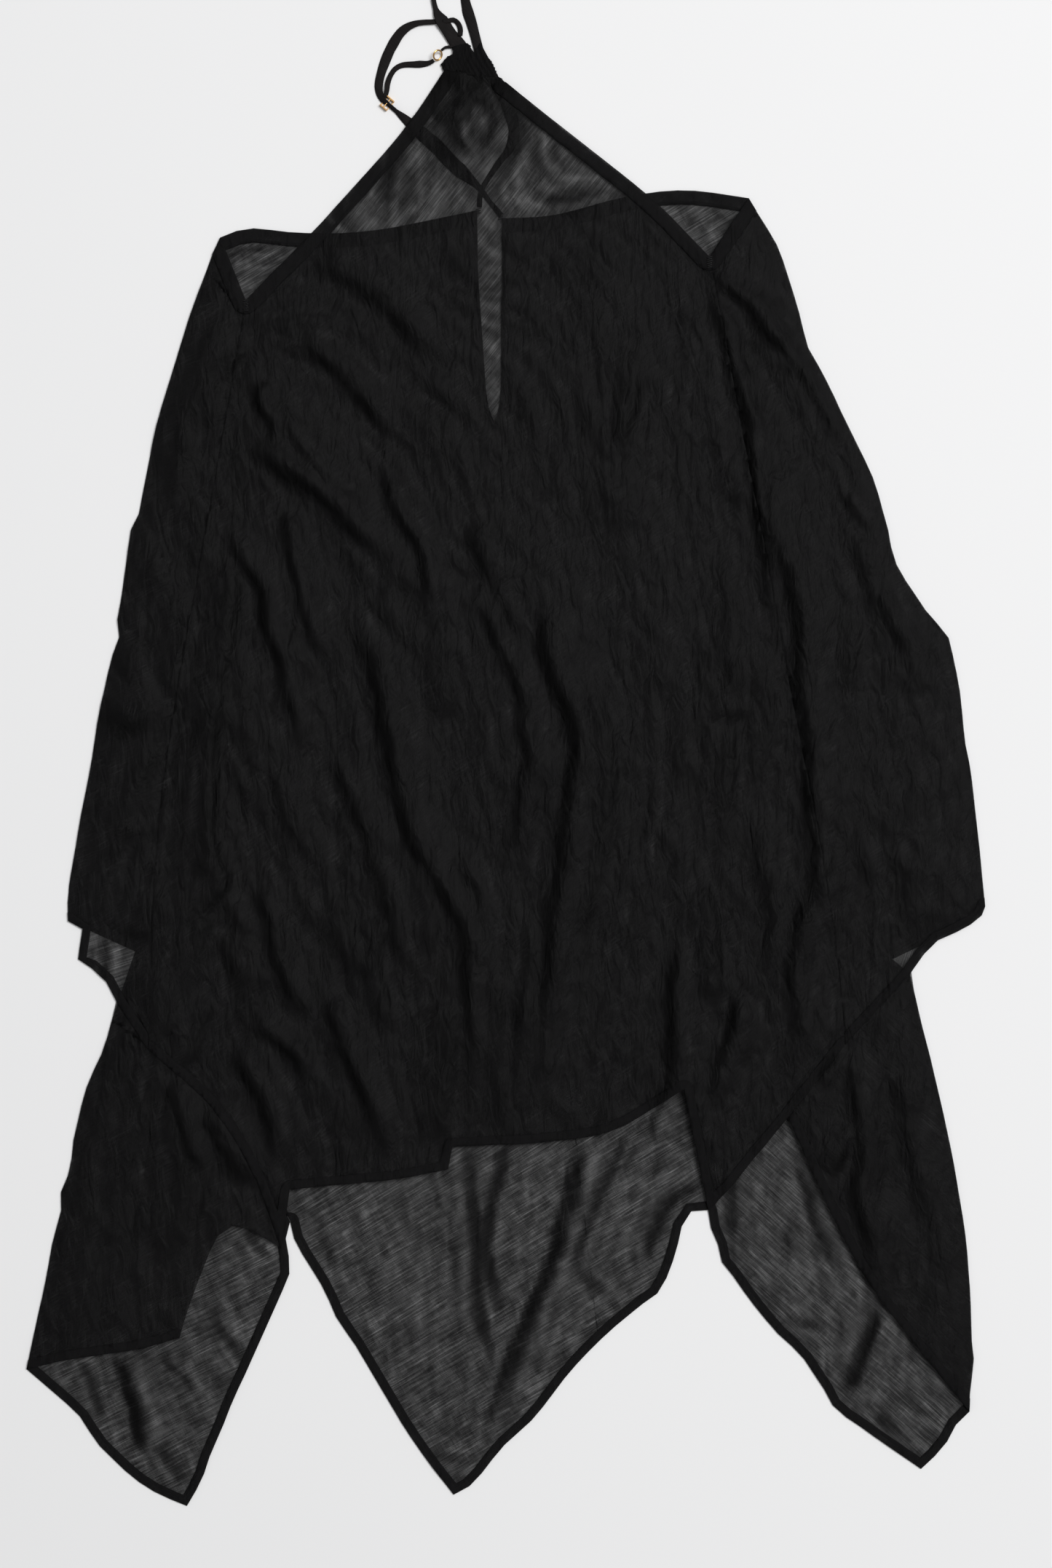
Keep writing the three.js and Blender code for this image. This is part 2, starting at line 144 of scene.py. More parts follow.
class StageSettings(bpy.types.PropertyGroup):
    camera_height: bpy.props.FloatProperty(
        name="Camera height", description="Height of the camera over the surface",
        default=2.6, min=1.0, max=6.0, unit="LENGTH",
    )
    floor_colour: bpy.props.FloatVectorProperty(
        name="Floor", description="Colour of the floor", subtype="COLOR", size=3,
        default=(0.84, 0.84, 0.845), min=0.0, max=1.0,
    )
    key_power: bpy.props.FloatProperty(
        name="Key light", description="Power of the large soft light", default=460.0, min=0.0,
        unit="POWER",
    )
    sky_strength: bpy.props.FloatProperty(
        name="Sky", description="Strength of the even light from all round", default=0.33, min=0.0,
    )


class CapeSettings(bpy.types.PropertyGroup):
    cloth: bpy.props.PointerProperty(type=ClothSettings, name="Cloth", description="Cloth sizes")
    strap: bpy.props.PointerProperty(type=StrapSettings, name="Straps", description="Strap sizes")
    stage: bpy.props.PointerProperty(type=StageSettings, name="Stage", description="Stage sizes")


def settings():
    return bpy.context.scene.halter_cape


# ---- Materials ---------------------------------------------------------------------------


def linear(hex_colour):
    """Turns an sRGB hex colour into linear RGBA."""
    channels = [int(hex_colour[i:i + 2], 16) / 255 for i in (1, 3, 5)]
    return tuple(c / 12.92 if c <= 0.04045 else ((c + 0.055) / 1.055) ** 2.4 for c in channels) + (1.0,)


def add_node(tree, kind, values=None, links=None, **attributes):
    """Adds a shader node, sets its attributes and input values, and links its inputs."""
    node = tree.nodes.new(kind)
    for key, value in attributes.items():
        setattr(node, key, value)
    for key, value in (values or {}).items():
        node.inputs[key].default_value = value
    for key, source in (links or {}).items():
        tree.links.new(source, node.inputs[key])
    return node


def new_material(name):
    material = bpy.data.materials.new(name)
    material.use_nodes = True
    material.node_tree.nodes.clear()
    return material, material.node_tree


def finish_material(tree, surface):
    add_node(tree, "ShaderNodeOutputMaterial", links={"Surface": surface})


def voile_material(name, colour, share, slub=1.0, roughness=0.6):
    """Slub voile, plain woven of very thin black yarn.

    The eye sees an open cloth with long uneven threads: streaks a millimetre or two apart,
    each a few centimetres long, where thicker yarns let less light by. Thin creases run all
    over it. Folds and creases look darker because light has to cross more cloth; the colour
    is also darkened there by painted shade, and lightened along fold crests by a painted highlight.
    """
    material, tree = new_material(name)
    yarn = add_node(tree, "ShaderNodeUVMap", uv_map="yarn").outputs["UV"]
    place = add_node(tree, "ShaderNodeTexCoord").outputs["Object"]

    def noise(size, values, vector, **attributes):
        spot = add_node(
            tree, "ShaderNodeMapping", {"Scale": tuple(1 / side for side in size)}, {"Vector": vector}
        ).outputs["Vector"]
        return add_node(
            tree, "ShaderNodeTexNoise", {"Scale": 1.0, **values}, {"Vector": spot}, **attributes
        ).outputs["Fac"]

    def ranged(value, low, high, reach=0.2):
        return add_node(
            tree, "ShaderNodeMapRange",
            {"From Min": 0.5 - reach, "From Max": 0.5 + reach, "To Min": low, "To Max": high},
            {"Value": value}, clamp=False,
        ).outputs["Result"]

    def times(first, second):
        return add_node(
            tree, "ShaderNodeMath", links={0: first, 1: second}, operation="MULTIPLY"
        ).outputs[0]

    # Streaks along the yarn: 40 mm long and 1.3 mm apart, then 12 mm long and 0.8 mm apart.
    # The real threads are 0.3 mm apart, too fine to show.
    long_streak = noise((0.040, 0.0013, 1.0), {"Detail": 3.0, "Roughness": 0.65, "Distortion": 0.15}, yarn)
    short_streak = noise((0.012, 0.0008, 1.0), {"Detail": 2.0}, yarn)
    cross_streak = noise((0.0010, 0.016, 1.0), {"Detail": 2.0}, yarn)
    # Cloudy patches 25 mm across, where the cloth lies closer or looser.
    cloud = noise((0.025, 0.025, 0.025), {"Detail": 4.0, "Roughness": 0.6}, yarn)
    # Small soft creases, 9 mm by 24 mm.
    crease = noise((0.009, 0.024, 1.0), {"Detail": 3.0, "Roughness": 0.5, "Distortion": 0.8}, place)
    fold = add_node(tree, "ShaderNodeAttribute", attribute_name="cloth_crossed_and_painted_shade").outputs["Fac"]
    cover = times(ranged(long_streak, 1 - 0.38 * slub, 1 + 0.38 * slub),
                  ranged(short_streak, 1 - 0.14 * slub, 1 + 0.14 * slub))
    cover = times(cover, ranged(cross_streak, 1 - 0.10 * slub, 1 + 0.10 * slub))
    cover = times(cover, ranged(cloud, 0.86, 1.14))
    cover = times(cover, ranged(crease, 0.93, 1.07))
    cover = times(cover, fold)
    # Each layer has two faces, so each face lets by the square root of the layer's share.
    through = add_node(
        tree, "ShaderNodeMath", {0: math.sqrt(share)}, {1: cover}, operation="POWER"
    ).outputs[0]
    alpha = add_node(
        tree, "ShaderNodeMath", {0: 1.0}, {1: through}, operation="SUBTRACT", use_clamp=True
    ).outputs[0]
    tint = add_node(
        tree, "ShaderNodeMixRGB",
        {"Color1": (colour[0] * 0.8, colour[1] * 0.8, colour[2] * 0.82, 1.0),
         "Color2": (colour[0] * 1.25, colour[1] * 1.22, colour[2] * 1.25, 1.0)},
        {"Fac": long_streak},
    ).outputs["Color"]
    # Painted shade and highlight: deep in a fold the colour is darkened, as if the cloth shaded itself, and along a
    # crest it is lightened, as if it caught more light.
    shade = add_node(
        tree, "ShaderNodeMapRange", {"From Min": 0.6, "From Max": 2.4, "To Min": 1.32, "To Max": 0.32},
        {"Value": fold},
    ).outputs["Result"]
    tint = add_node(
        tree, "ShaderNodeVectorMath", links={0: tint, "Scale": shade}, operation="SCALE"
    ).outputs["Vector"]
    height = add_node(
        tree, "ShaderNodeMath", {1: 0.12}, {0: long_streak, 2: crease}, operation="MULTIPLY_ADD"
    ).outputs[0]
    bump = add_node(
        tree, "ShaderNodeBump", {"Strength": 1.0, "Distance": 0.0035}, {"Height": height}
    ).outputs["Normal"]
    shader = add_node(
        tree, "ShaderNodeBsdfPrincipled",
        {"Roughness": roughness, "Specular IOR Level": 0.09, "IOR": 1.5},
        {"Base Color": tint, "Alpha": alpha, "Normal": bump},
    )
    finish_material(tree, shader.outputs["BSDF"])
    return material


def strap_material(name, colour):
    """Bias tube of voile, turned and pressed: close matt cloth with a slanting weave."""
    material, tree = new_material(name)
    place = add_node(tree, "ShaderNodeTexCoord").outputs["Object"]
    # Threads 0.5 mm apart are too fine to show, so they are drawn 0.9 mm apart.
    weave = add_node(
        tree, "ShaderNodeTexWave", {"Scale": 1 / 0.0009 / 6.2832, "Distortion": 1.5, "Detail": 2.0},
        {"Vector": place}, wave_type="BANDS", bands_direction="DIAGONAL",
    ).outputs["Fac"]
    crease = add_node(
        tree, "ShaderNodeTexNoise", {"Scale": 1 / 0.006, "Detail": 3.0}, {"Vector": place}
    ).outputs["Fac"]
    height = add_node(
        tree, "ShaderNodeMath", {1: 0.35}, {0: weave, 2: crease}, operation="MULTIPLY_ADD"
    ).outputs[0]
    # Painted shade and highlight: the colour follows the same crease noise as the bump, darker in the creases' hollows
    # and lighter on their tops.
    tint = add_node(
        tree, "ShaderNodeMixRGB",
        {"Color1": (colour[0] * 0.6, colour[1] * 0.6, colour[2] * 0.6, 1.0),
         "Color2": (colour[0] * 1.7, colour[1] * 1.6, colour[2] * 1.6, 1.0)},
        {"Fac": crease},
    ).outputs["Color"]
    bump = add_node(
        tree, "ShaderNodeBump", {"Strength": 0.5, "Distance": 0.0004}, {"Height": height}
    ).outputs["Normal"]
    shader = add_node(
        tree, "ShaderNodeBsdfPrincipled",
        {"Roughness": 0.75, "Specular IOR Level": 0.1, "IOR": 1.5},
        {"Base Color": tint, "Normal": bump},
    )
    finish_material(tree, shader.outputs["BSDF"])
    return material


def thread_material(name, colour):
    """Polyester sewing thread, twisted: darker than the cloth and a little glossier."""
    material, tree = new_material(name)
    place = add_node(tree, "ShaderNodeTexCoord").outputs["Object"]
    twist = add_node(
        tree, "ShaderNodeTexWave", {"Scale": 1 / 0.0006 / 6.2832}, {"Vector": place},
        bands_direction="DIAGONAL",
    ).outputs["Fac"]
    bump = add_node(
        tree, "ShaderNodeBump", {"Strength": 0.4, "Distance": 0.0002}, {"Height": twist}
    ).outputs["Normal"]
    shader = add_node(
        tree, "ShaderNodeBsdfPrincipled",
        {"Base Color": colour, "Roughness": 0.5, "Specular IOR Level": 0.25}, {"Normal": bump},
    )
    finish_material(tree, shader.outputs["BSDF"])
    return material


def gilt_material(name, colour):
    """Gilt-plated zinc, tumbled smooth: a warm mirror with faint wear marks."""
    material, tree = new_material(name)
    place = add_node(tree, "ShaderNodeTexCoord").outputs["Object"]
    wear = add_node(
        tree, "ShaderNodeTexNoise", {"Scale": 1 / 0.002, "Detail": 4.0}, {"Vector": place}
    ).outputs["Fac"]
    rough = add_node(
        tree, "ShaderNodeMapRange", {"To Min": 0.24, "To Max": 0.42}, {"Value": wear}
    ).outputs["Result"]
    bump = add_node(
        tree, "ShaderNodeBump", {"Strength": 0.12, "Distance": 0.0001}, {"Height": wear}
    ).outputs["Normal"]
    shader = add_node(
        tree, "ShaderNodeBsdfPrincipled",
        {"Base Color": tuple(colour) + (1.0,), "Metallic": 1.0},
        {"Roughness": rough, "Normal": bump},
    )
    finish_material(tree, shader.outputs["BSDF"])
    return material


def floor_material(name, colour):
    """Matt white paper sweep, with no grain that shows at this distance."""
    material, tree = new_material(name)
    place = add_node(tree, "ShaderNodeTexCoord").outputs["Object"]
    cloud = add_node(
        tree, "ShaderNodeTexNoise", {"Scale": 1.2, "Detail": 2.0}, {"Vector": place}
    ).outputs["Fac"]
    tint = add_node(
        tree, "ShaderNodeMixRGB",
        {"Color1": (colour[0] * 0.99, colour[1] * 0.99, colour[2] * 0.99, 1.0),
         "Color2": (colour[0] * 1.01, colour[1] * 1.01, colour[2] * 1.01, 1.0)},
        {"Fac": cloud},
    ).outputs["Color"]
    shader = add_node(
        tree, "ShaderNodeBsdfPrincipled", {"Roughness": 0.95, "Specular IOR Level": 0.1},
        {"Base Color": tint},
    )
    finish_material(tree, shader.outputs["BSDF"])
    return material


materials = {}


def material_for(kind):
    """Makes each finish once, from the settings."""
    if kind in materials:
        return materials[kind]
    cloth = settings().cloth
    strap = settings().strap
    share = cloth.see_through
    makers = {
        "voile": lambda: voile_material("black_slub_voile", cloth.voile_colour, share),
        "turned_edge": lambda: voile_material(
            "turned_voile", cloth.voile_colour, share ** 2.2, slub=0.5, roughness=0.85
        ),
        "strap": lambda: strap_material("pressed_bias_tube", strap.colour),
        "thread": lambda: thread_material("black_sewing_thread", linear("#121213")),
        "gilt": lambda: gilt_material("gilt_plated_zinc", strap.gilt_colour),
    }
    materials[kind] = makers[kind]()
    return materials[kind]


# ---- Cloth heights -----------------------------------------------------------------------
# Every piece of one layer is laid over the same field of heights, so seams, bands and hems
# follow the folds of the cloth under them.

FIELD_STEP = 0.003
FIELD_MARGIN = 0.02


def soft_noise(u, v, seed):
    """Smooth gradient noise on two arrays, from about -0.7 to 0.7."""
    angle = np.random.default_rng(seed).uniform(0, 2 * np.pi, (64, 64))
    iu = np.floor(u).astype(int)
    iv = np.floor(v).astype(int)
    fu = u - iu
    fv = v - iv

    def corner(i, j):
        a = angle[(iu + i) % 64, (iv + j) % 64]
        return np.cos(a) * (fu - i) + np.sin(a) * (fv - j)

    su = fu ** 3 * (fu * (fu * 6 - 15) + 10)
    sv = fv ** 3 * (fv * (fv * 6 - 15) + 10)
    low = corner(0, 0) * (1 - su) + corner(1, 0) * su
    high = corner(0, 1) * (1 - su) + corner(1, 1) * su
    return low * (1 - sv) + high * sv


def smoothstep(low, high, value):
    t = np.clip((value - low) / (high - low), 0.0, 1.0)
    return t * t * (3 - 2 * t)


def blurred(values, rounds):
    """Evens out a field with a small soft kernel."""
    for _ in range(rounds):
        padded = np.pad(values, 1, mode="edge")
        values = (padded[:-2] + 2 * padded[1:-1] + padded[2:])[:, 1:-1] / 4
        padded = np.pad(values, 1, mode="edge")
        values = (padded[:, :-2] + 2 * padded[:, 1:-1] + padded[:, 2:])[1:-1] / 4
    return values


def spline_points(points, spacing):
    """Points a given distance apart along a smooth curve through the given ones."""
    pts = [np.array(p, float) for p in points]
    pts = [2 * pts[0] - pts[1]] + pts + [2 * pts[-1] - pts[-2]]
    dense = []
    for a, b, c, d in zip(pts, pts[1:], pts[2:], pts[3:]):
        for t in np.linspace(0, 1, 24, endpoint=False):
            dense.append(0.5 * (
                2 * b + (c - a) * t + (2 * a - 5 * b + 4 * c - d) * t * t
                + (3 * b - a - 3 * c + d) * t ** 3
            ))
    dense.append(pts[-2])
    dense = np.array(dense)
    gone = np.concatenate([[0], np.cumsum(np.linalg.norm(np.diff(dense, axis=0), axis=1))])
    count = max(2, round(gone[-1] / spacing) + 1)
    wanted = np.linspace(0, gone[-1], count)
    return np.stack([np.interp(wanted, gone, dense[:, i]) for i in range(dense.shape[1])], axis=1)


# Folds of the upper layer: strength, width and lie, then points in millimetres from where the
# fold starts. A fold is steep on one side, and doubles the cloth there, where the voile's colour also gets painted
# shade.
UPPER_FOLDS = [
    # Left, fanning down from the underarm corner.
    (0.75, 11, 1, (-228, 399), (-252, 376), (-270, 343), (-287, 306), (-288, 262), (-273, 221), (-259, 178),
     (-252, 152)),
    (0.6, 7, 1, (-228, 384), (-248, 362), (-258, 346), (-256, 328), (-257, 306), (-259, 288)),
    (1.0, 6, -1, (-214, 353), (-219, 340), (-216, 326), (-208, 317), (-206, 303), (-208, 284)),
    (0.9, 11, -1, (-227, 296), (-211, 284), (-198, 274), (-167, 254), (-139, 224), (-120, 206), (-108, 190)),
    (0.6, 8, -1, (-211, 326), (-195, 312), (-180, 293), (-161, 273), (-148, 259), (-131, 246)),
    (0.7, 10, -1, (-186, 393), (-167, 376), (-148, 359), (-136, 346), (-120, 328), (-105, 309), (-84, 295)),
    (0.8, 17, -1, (-170, 464), (-148, 449), (-127, 437), (-111, 429), (-98, 415), (-86, 399), (-73, 384),
     (-56, 364)),
    (0.35, 8, -1, (-73, 352), (-55, 337), (-33, 321), (-15, 308)),
    (0.4, 7, 1, (-222, 399), (-200, 401), (-180, 405), (-160, 404), (-140, 398)),
    (0.45, 6, 1, (-206, 402), (-190, 392), (-176, 386)),
    (0.8, 9, -1, (-105, 276), (-102, 259), (-98, 237), (-86, 221), (-73, 202), (-69, 184), (-70, 160), (-79, 126)),
    (0.9, 10, -1, (-250, 224), (-239, 206), (-230, 190), (-217, 171), (-211, 150), (-208, 127), (-198, 102),
     (-195, 81), (-186, 59), (-183, 34), (-181, 8)),
    (0.8, 7, -1, (-198, 240), (-192, 209), (-186, 181), (-180, 152), (-170, 124), (-160, 92)),
    (1.0, 12, 1, (-255, 218), (-248, 202), (-243, 176), (-244, 146), (-247, 124), (-252, 93), (-256, 59),
     (-261, 27), (-262, -17), (-262, -46), (-261, -73), (-254, -97), (-264, -113), (-270, -128), (-273, -152),
     (-278, -178), (-286, -200), (-293, -232)),
    (0.45, 8, 1, (-278, 160), (-282, 138), (-290, 108), (-296, 84), (-288, 56)),
    (0.4, 7, 1, (-240, 132), (-238, 104), (-233, 78), (-226, 50)),
    (0.4, 14, -1, (-352, 110), (-338, 96), (-328, 78)),
    (0.7, 24, -1, (-362, 64), (-340, 50), (-318, 52), (-296, 64)),
    (0.6, 18, 1, (-306, 66), (-314, 34), (-320, 6), (-332, -22), (-346, -56), (-362, -84)),
    (0.5, 8, 1, (-320, 188), (-310, 178), (-296, 164)),
    (0.45, 7, 1, (-272, 170), (-262, 156), (-252, 142)),
    # Middle.
    (1.0, 13, -1, (-146, 162), (-136, 140), (-123, 118), (-112, 98), (-108, 74), (-103, 46), (-97, 18), (-95, -3),
     (-88, -32), (-77, -61), (-65, -81), (-53, -105), (-42, -124), (-33, -148), (-30, -181), (-28, -222),
     (-30, -265), (-27, -309), (-32, -332)),
    (0.5, 9, -1, (-118, 160), (-104, 140), (-92, 120), (-86, 100)),
    (0.6, 9, 1, (-56, 128), (-56, 96), (-50, 68), (-49, 44)),
    (0.7, 9, -1, (-152, 22), (-141, -8), (-132, -35), (-120, -58), (-112, -81), (-103, -111), (-98, -140),
     (-86, -165), (-68, -194)),
    (0.8, 9, 1, (-104, -124), (-112, -150), (-113, -176), (-107, -205), (-98, -238)),
    (0.6, 9, 1, (-79, -72), (-71, -105), (-66, -134), (-68, -166)),
    (0.7, 11, -1, (-44, -66), (-34, -84), (-24, -105), (-20, -128), (-24, -160)),
    (0.7, 10, -1, (-34, 226), (-20, 196), (-11, 171), (0, 149), (11, 131), (22, 106)),
    (0.9, 10, -1, (-28, 168), (-11, 133), (2, 104), (15, 81), (20, 57), (19, 36), (25, 11), (16, -16), (13, -44),
     (9, -68), (12, -98)),
    (1.0, 13, -1, (33, 174), (39, 146), (37, 119), (42, 96), (52, 73), (62, 46), (66, 22), (60, -6), (57, -47),
     (54, -85), (49, -117), (46, -149), (41, -187), (36, -218), (30, -259), (28, -296)),
    (0.7, 14, 1, (68, 100), (79, 69), (90, 36), (92, 10), (90, -16), (85, -47), (80, -85), (74, -111),
     (69, -140), (66, -168), (60, -200)),
    (0.6, 6, -1, (34, 40), (36, 10), (38, -18), (34, -46)),
    (0.8, 7, 1, (-14, -168), (-6, -199), (-6, -244), (-3, -291), (0, -323)),
    (0.6, 6, 1, (24, -118), (24, -160), (22, -205), (14, -262), (6, -300), (2, -322)),
    (0.9, 15, 1, (-48, -196), (-49, -222), (-51, -256), (-58, -295), (-61, -332)),
    (0.35, 8, -1, (-56, 196), (-44, 186), (-32, 174)),
    (0.6, 9, 1, (107, 388), (112, 366), (115, 346), (112, 326), (105, 309), (103, 289), (105, 274)),
    (0.4, 8, -1, (93, 254), (105, 233), (117, 214)),
    (0.4, 9, 1, (66, 432), (79, 406), (86, 386), (92, 360)),
    (0.3, 8, 1, (60, 470), (76, 450), (100, 432)),
    (0.3, 7, -1, (42, 276), (44, 256), (48, 244)),
    # Right, from the other underarm corner.
    (1.0, 7, -1, (184, 455), (195, 436), (215, 419), (232, 399), (252, 376), (269, 353), (285, 323), (300, 299),
     (315, 276), (329, 255)),
    (0.9, 7, -1, (181, 449), (187, 419), (197, 393), (202, 366), (212, 339), (219, 316), (222, 289), (224, 256),
     (225, 229), (232, 196), (234, 163), (236, 122)),
    (1.0, 13, -1, (243, 306), (244, 283), (237, 267), (235, 243), (239, 216), (245, 196), (254, 179), (260, 156),
     (266, 131), (267, 103), (268, 76), (272, 46), (273, 12), (273, -8), (277, -44), (282, -72), (281, -97),
     (275, -119), (265, -136), (260, -155), (257, -180), (262, -206), (263, -230), (256, -256), (246, -275),
     (240, -297), (232, -320)),
    (0.5, 8, 1, (226, 118), (232, 79), (234, 46), (228, 13), (223, -22)),
    (0.5, 7, -1, (202, 282), (205, 263), (213, 237)),
    (0.6, 10, 1, (201, 200), (202, 163), (205, 129), (205, 96), (204, 63), (199, 25), (200, -6), (200, -54),
     (199, -90)),
    (0.6, 13, -1, (315, 215), (324, 179), (335, 156), (346, 134), (359, 113), (372, 84)),
    (0.5, 8, -1, (303, 252), (315, 233), (334, 216)),
    (0.4, 13, 1, (313, 140), (306, 106), (302, 66)),
    (0.5, 9, -1, (224, -30), (227, -54), (233, -92), (240, -123), (238, -152), (232, -180), (228, -206)),
    (0.8, 10, 1, (173, -94), (183, -123), (186, -155), (185, -180), (192, -210)),
    (0.9, 11, -1, (160, -150), (151, -187), (151, -212), (151, -244), (148, -275), (140, -296), (132, -329)),
    (0.8, 10, -1, (210, -198), (205, -222), (199, -244), (192, -269), (184, -298)),
    (0.5, 10, 1, (172, -262), (172, -292), (176, -322)),
    (0.9, 10, -1, (306, -242), (311, -269), (317, -307), (319, -339), (315, -374), (326, -420), (328, -466)),
    (0.7, 9, 1, (306, -310), (300, -334), (291, -358)),
    (0.6, 8, -1, (302, -248), (290, -262), (278, -276)),
    (0.5, 13, -1, (357, -262), (360, -307), (362, -339), (372, -370), (388, -404)),
    (0.4, 11, 1, (334, -300), (333, -354), (327, -392)),
    (0.4, 11, -1, (356, -74), (364, -106), (370, -138)),
    (0.4, 12, -1, (298, -34), (316, -70), (326, -102)),
    # Lower left.
    (0.5, 8, -1, (-250, -108), (-237, -128), (-224, -148)),
    (0.5, 9, -1, (-254, -142), (-237, -175), (-221, -204)),
    (0.8, 10, -1, (-218, -96), (-208, -134), (-199, -172), (-185, -198), (-168, -220)),
    (0.9, 11, -1, (-162, -198), (-144, -236), (-132, -266), (-120, -289), (-109, -318), (-102, -348)),
    (0.6, 8, -1, (-225, -220), (-202, -236), (-185, -254), (-175, -278)),
    (0.9, 13, -1, (-240, -244), (-226, -269), (-214, -292), (-205, -315), (-200, -350)),
    (0.7, 9, 1, (-146, -104), (-140, -130), (-128, -160), (-120, -190)),
    (0.9, 10, -1, (-297, -272), (-287, -304), (-281, -333), (-264, -356)),
    (0.9, 14, -1, (-266, -296), (-255, -322), (-240, -345), (-222, -368)),
    (0.6, 9, 1, (-300, -178), (-296, -207), (-289, -232)),
    (0.6, 22, 1, (-308, -104), (-317, -126), (-330, -152)),
    (0.7, 10, 1, (-262, -200), (-272, -219), (-276, -240), (-280, -266)),
    (0.5, 10, 1, (-334, -222), (-346, -250), (-356, -284), (-364, -330)),
    (0.6, 11, 1, (-300, -286), (-296, -320), (-286, -356), (-290, -400), (-296, -446)),
    (0.4, 9, 1, (-322, -300), (-336, -340), (-340, -384), (-346, -430)),
    (0.4, 8, -1, (-204, 8), (-200, -30), (-180, -62), (-164, -90)),
    # Halter, under the gathered neck, and its lower edge.
    (0.7, 4, 1, (-43, 632), (-36, 620), (-29, 608), (-26, 600)),
    (0.8, 4, -1, (-36, 580), (-33, 596), (-27, 603), (-18, 602), (-12, 592)),
    (0.9, 6, 1, (-46, 604), (-43, 590), (-49, 574), (-46, 563), (-36, 556), (-26, 552)),
    (0.6, 5, -1, (-3, 586), (-8, 574), (-14, 566), (-16, 556)),
    (0.5, 4, 1, (4, 598), (11, 584), (12, 568), (6, 556), (-6, 552)),
    (0.6, 10, 1, (-62, 606), (-58, 592), (-62, 578)),
    (0.6, 6, 1, (-99, 552), (-103, 536), (-104, 520), (-108, 506)),
    (0.7, 4, 1, (36, 512), (57, 511), (76, 516), (96, 519)),
    (0.4, 4, 1, (46, 518), (66, 520), (86, 521)),
    (0.35, 5, 1, (26, 556), (32, 542), (36, 528)),
    (0.35, 4, -1, (-96, 504), (-86, 516), (-78, 526)),
    (0.5, 3, 1, (-24, 432), (-16, 430), (-5, 434)),
    (0.4, 3, 1, (-22, 398), (-14, 394), (-4, 390)),
]

# Folds of the lower layer that show where nothing lies over it.
LOWER_FOLDS = [
    # Middle point.
    (0.9, 8, 1, (-34, -330), (-31, -364), (-28, -396), (-26, -430), (-28, -462), (-20, -500), (-12, -530)),
    (0.8, 8, 1, (0, -326), (-6, -358), (-14, -388), (-18, -420), (-14, -452), (-8, -490)),
    (0.7, 6, -1, (62, -330), (58, -366), (50, -400), (44, -432), (28, -470), (14, -500), (0, -540), (-14, -580),
     (-26, -606)),
    (0.9, 8, -1, (76, -322), (68, -352), (60, -386), (50, -424), (36, -462), (18, -506), (2, -552), (-12, -588)),
    (0.5, 7, 1, (106, -318), (94, -350), (78, -386), (66, -420), (58, -448)),
    (0.7, 8, 1, (174, -366), (152, -374), (138, -394), (128, -420), (132, -442)),
    (0.4, 6, -1, (142, -288), (136, -306), (131, -330)),
    (0.5, 7, 1, (160, -286), (168, -310), (172, -334)),
    (0.3, 9, 1, (-168, -392), (-164, -420), (-150, -446)),
    (0.3, 8, 1, (60, -440), (76, -452), (96, -462)),
    (0.3, 9, 1, (-70, -600), (-50, -612), (-30, -610)),
    # Left wing.
    (1.0, 11, -1, (-338, -516), (-333, -545), (-325, -580), (-321, -612)),
    (0.4, 6, -1, (-308, -505), (-296, -524), (-282, -538), (-268, -562)),
    (0.5, 6, 1, (-264, -470), (-258, -490), (-244, -512), (-230, -528)),
    (0.5, 7, 1, (-378, -524), (-368, -552), (-360, -580)),
    (0.4, 6, 1, (-232, -404), (-222, -420), (-206, -438)),
    (0.4, 8, 1, (-312, -600), (-296, -618), (-286, -640)),
    # Right wing.
    (1.0, 9, 1, (333, -478), (320, -506), (310, -534), (300, -556)),
    (0.5, 8, -1, (262, -345), (274, -380), (286, -420), (298, -446)),
    (0.5, 7, 1, (205, -352), (200, -384), (206, -420)),
    (0.4, 7, 1, (248, -482), (262, -490), (282, -496)),
    (0.4, 8, 1, (330, -570), (346, -586), (368, -600)),
    # Corner by the left shoulder, and the slit.
    (0.5, 4, 1, (-252, 464), (-236, 467), (-206, 470)),
    (0.3, 5, 1, (184, 508), (196, 494), (210, 488)),
]


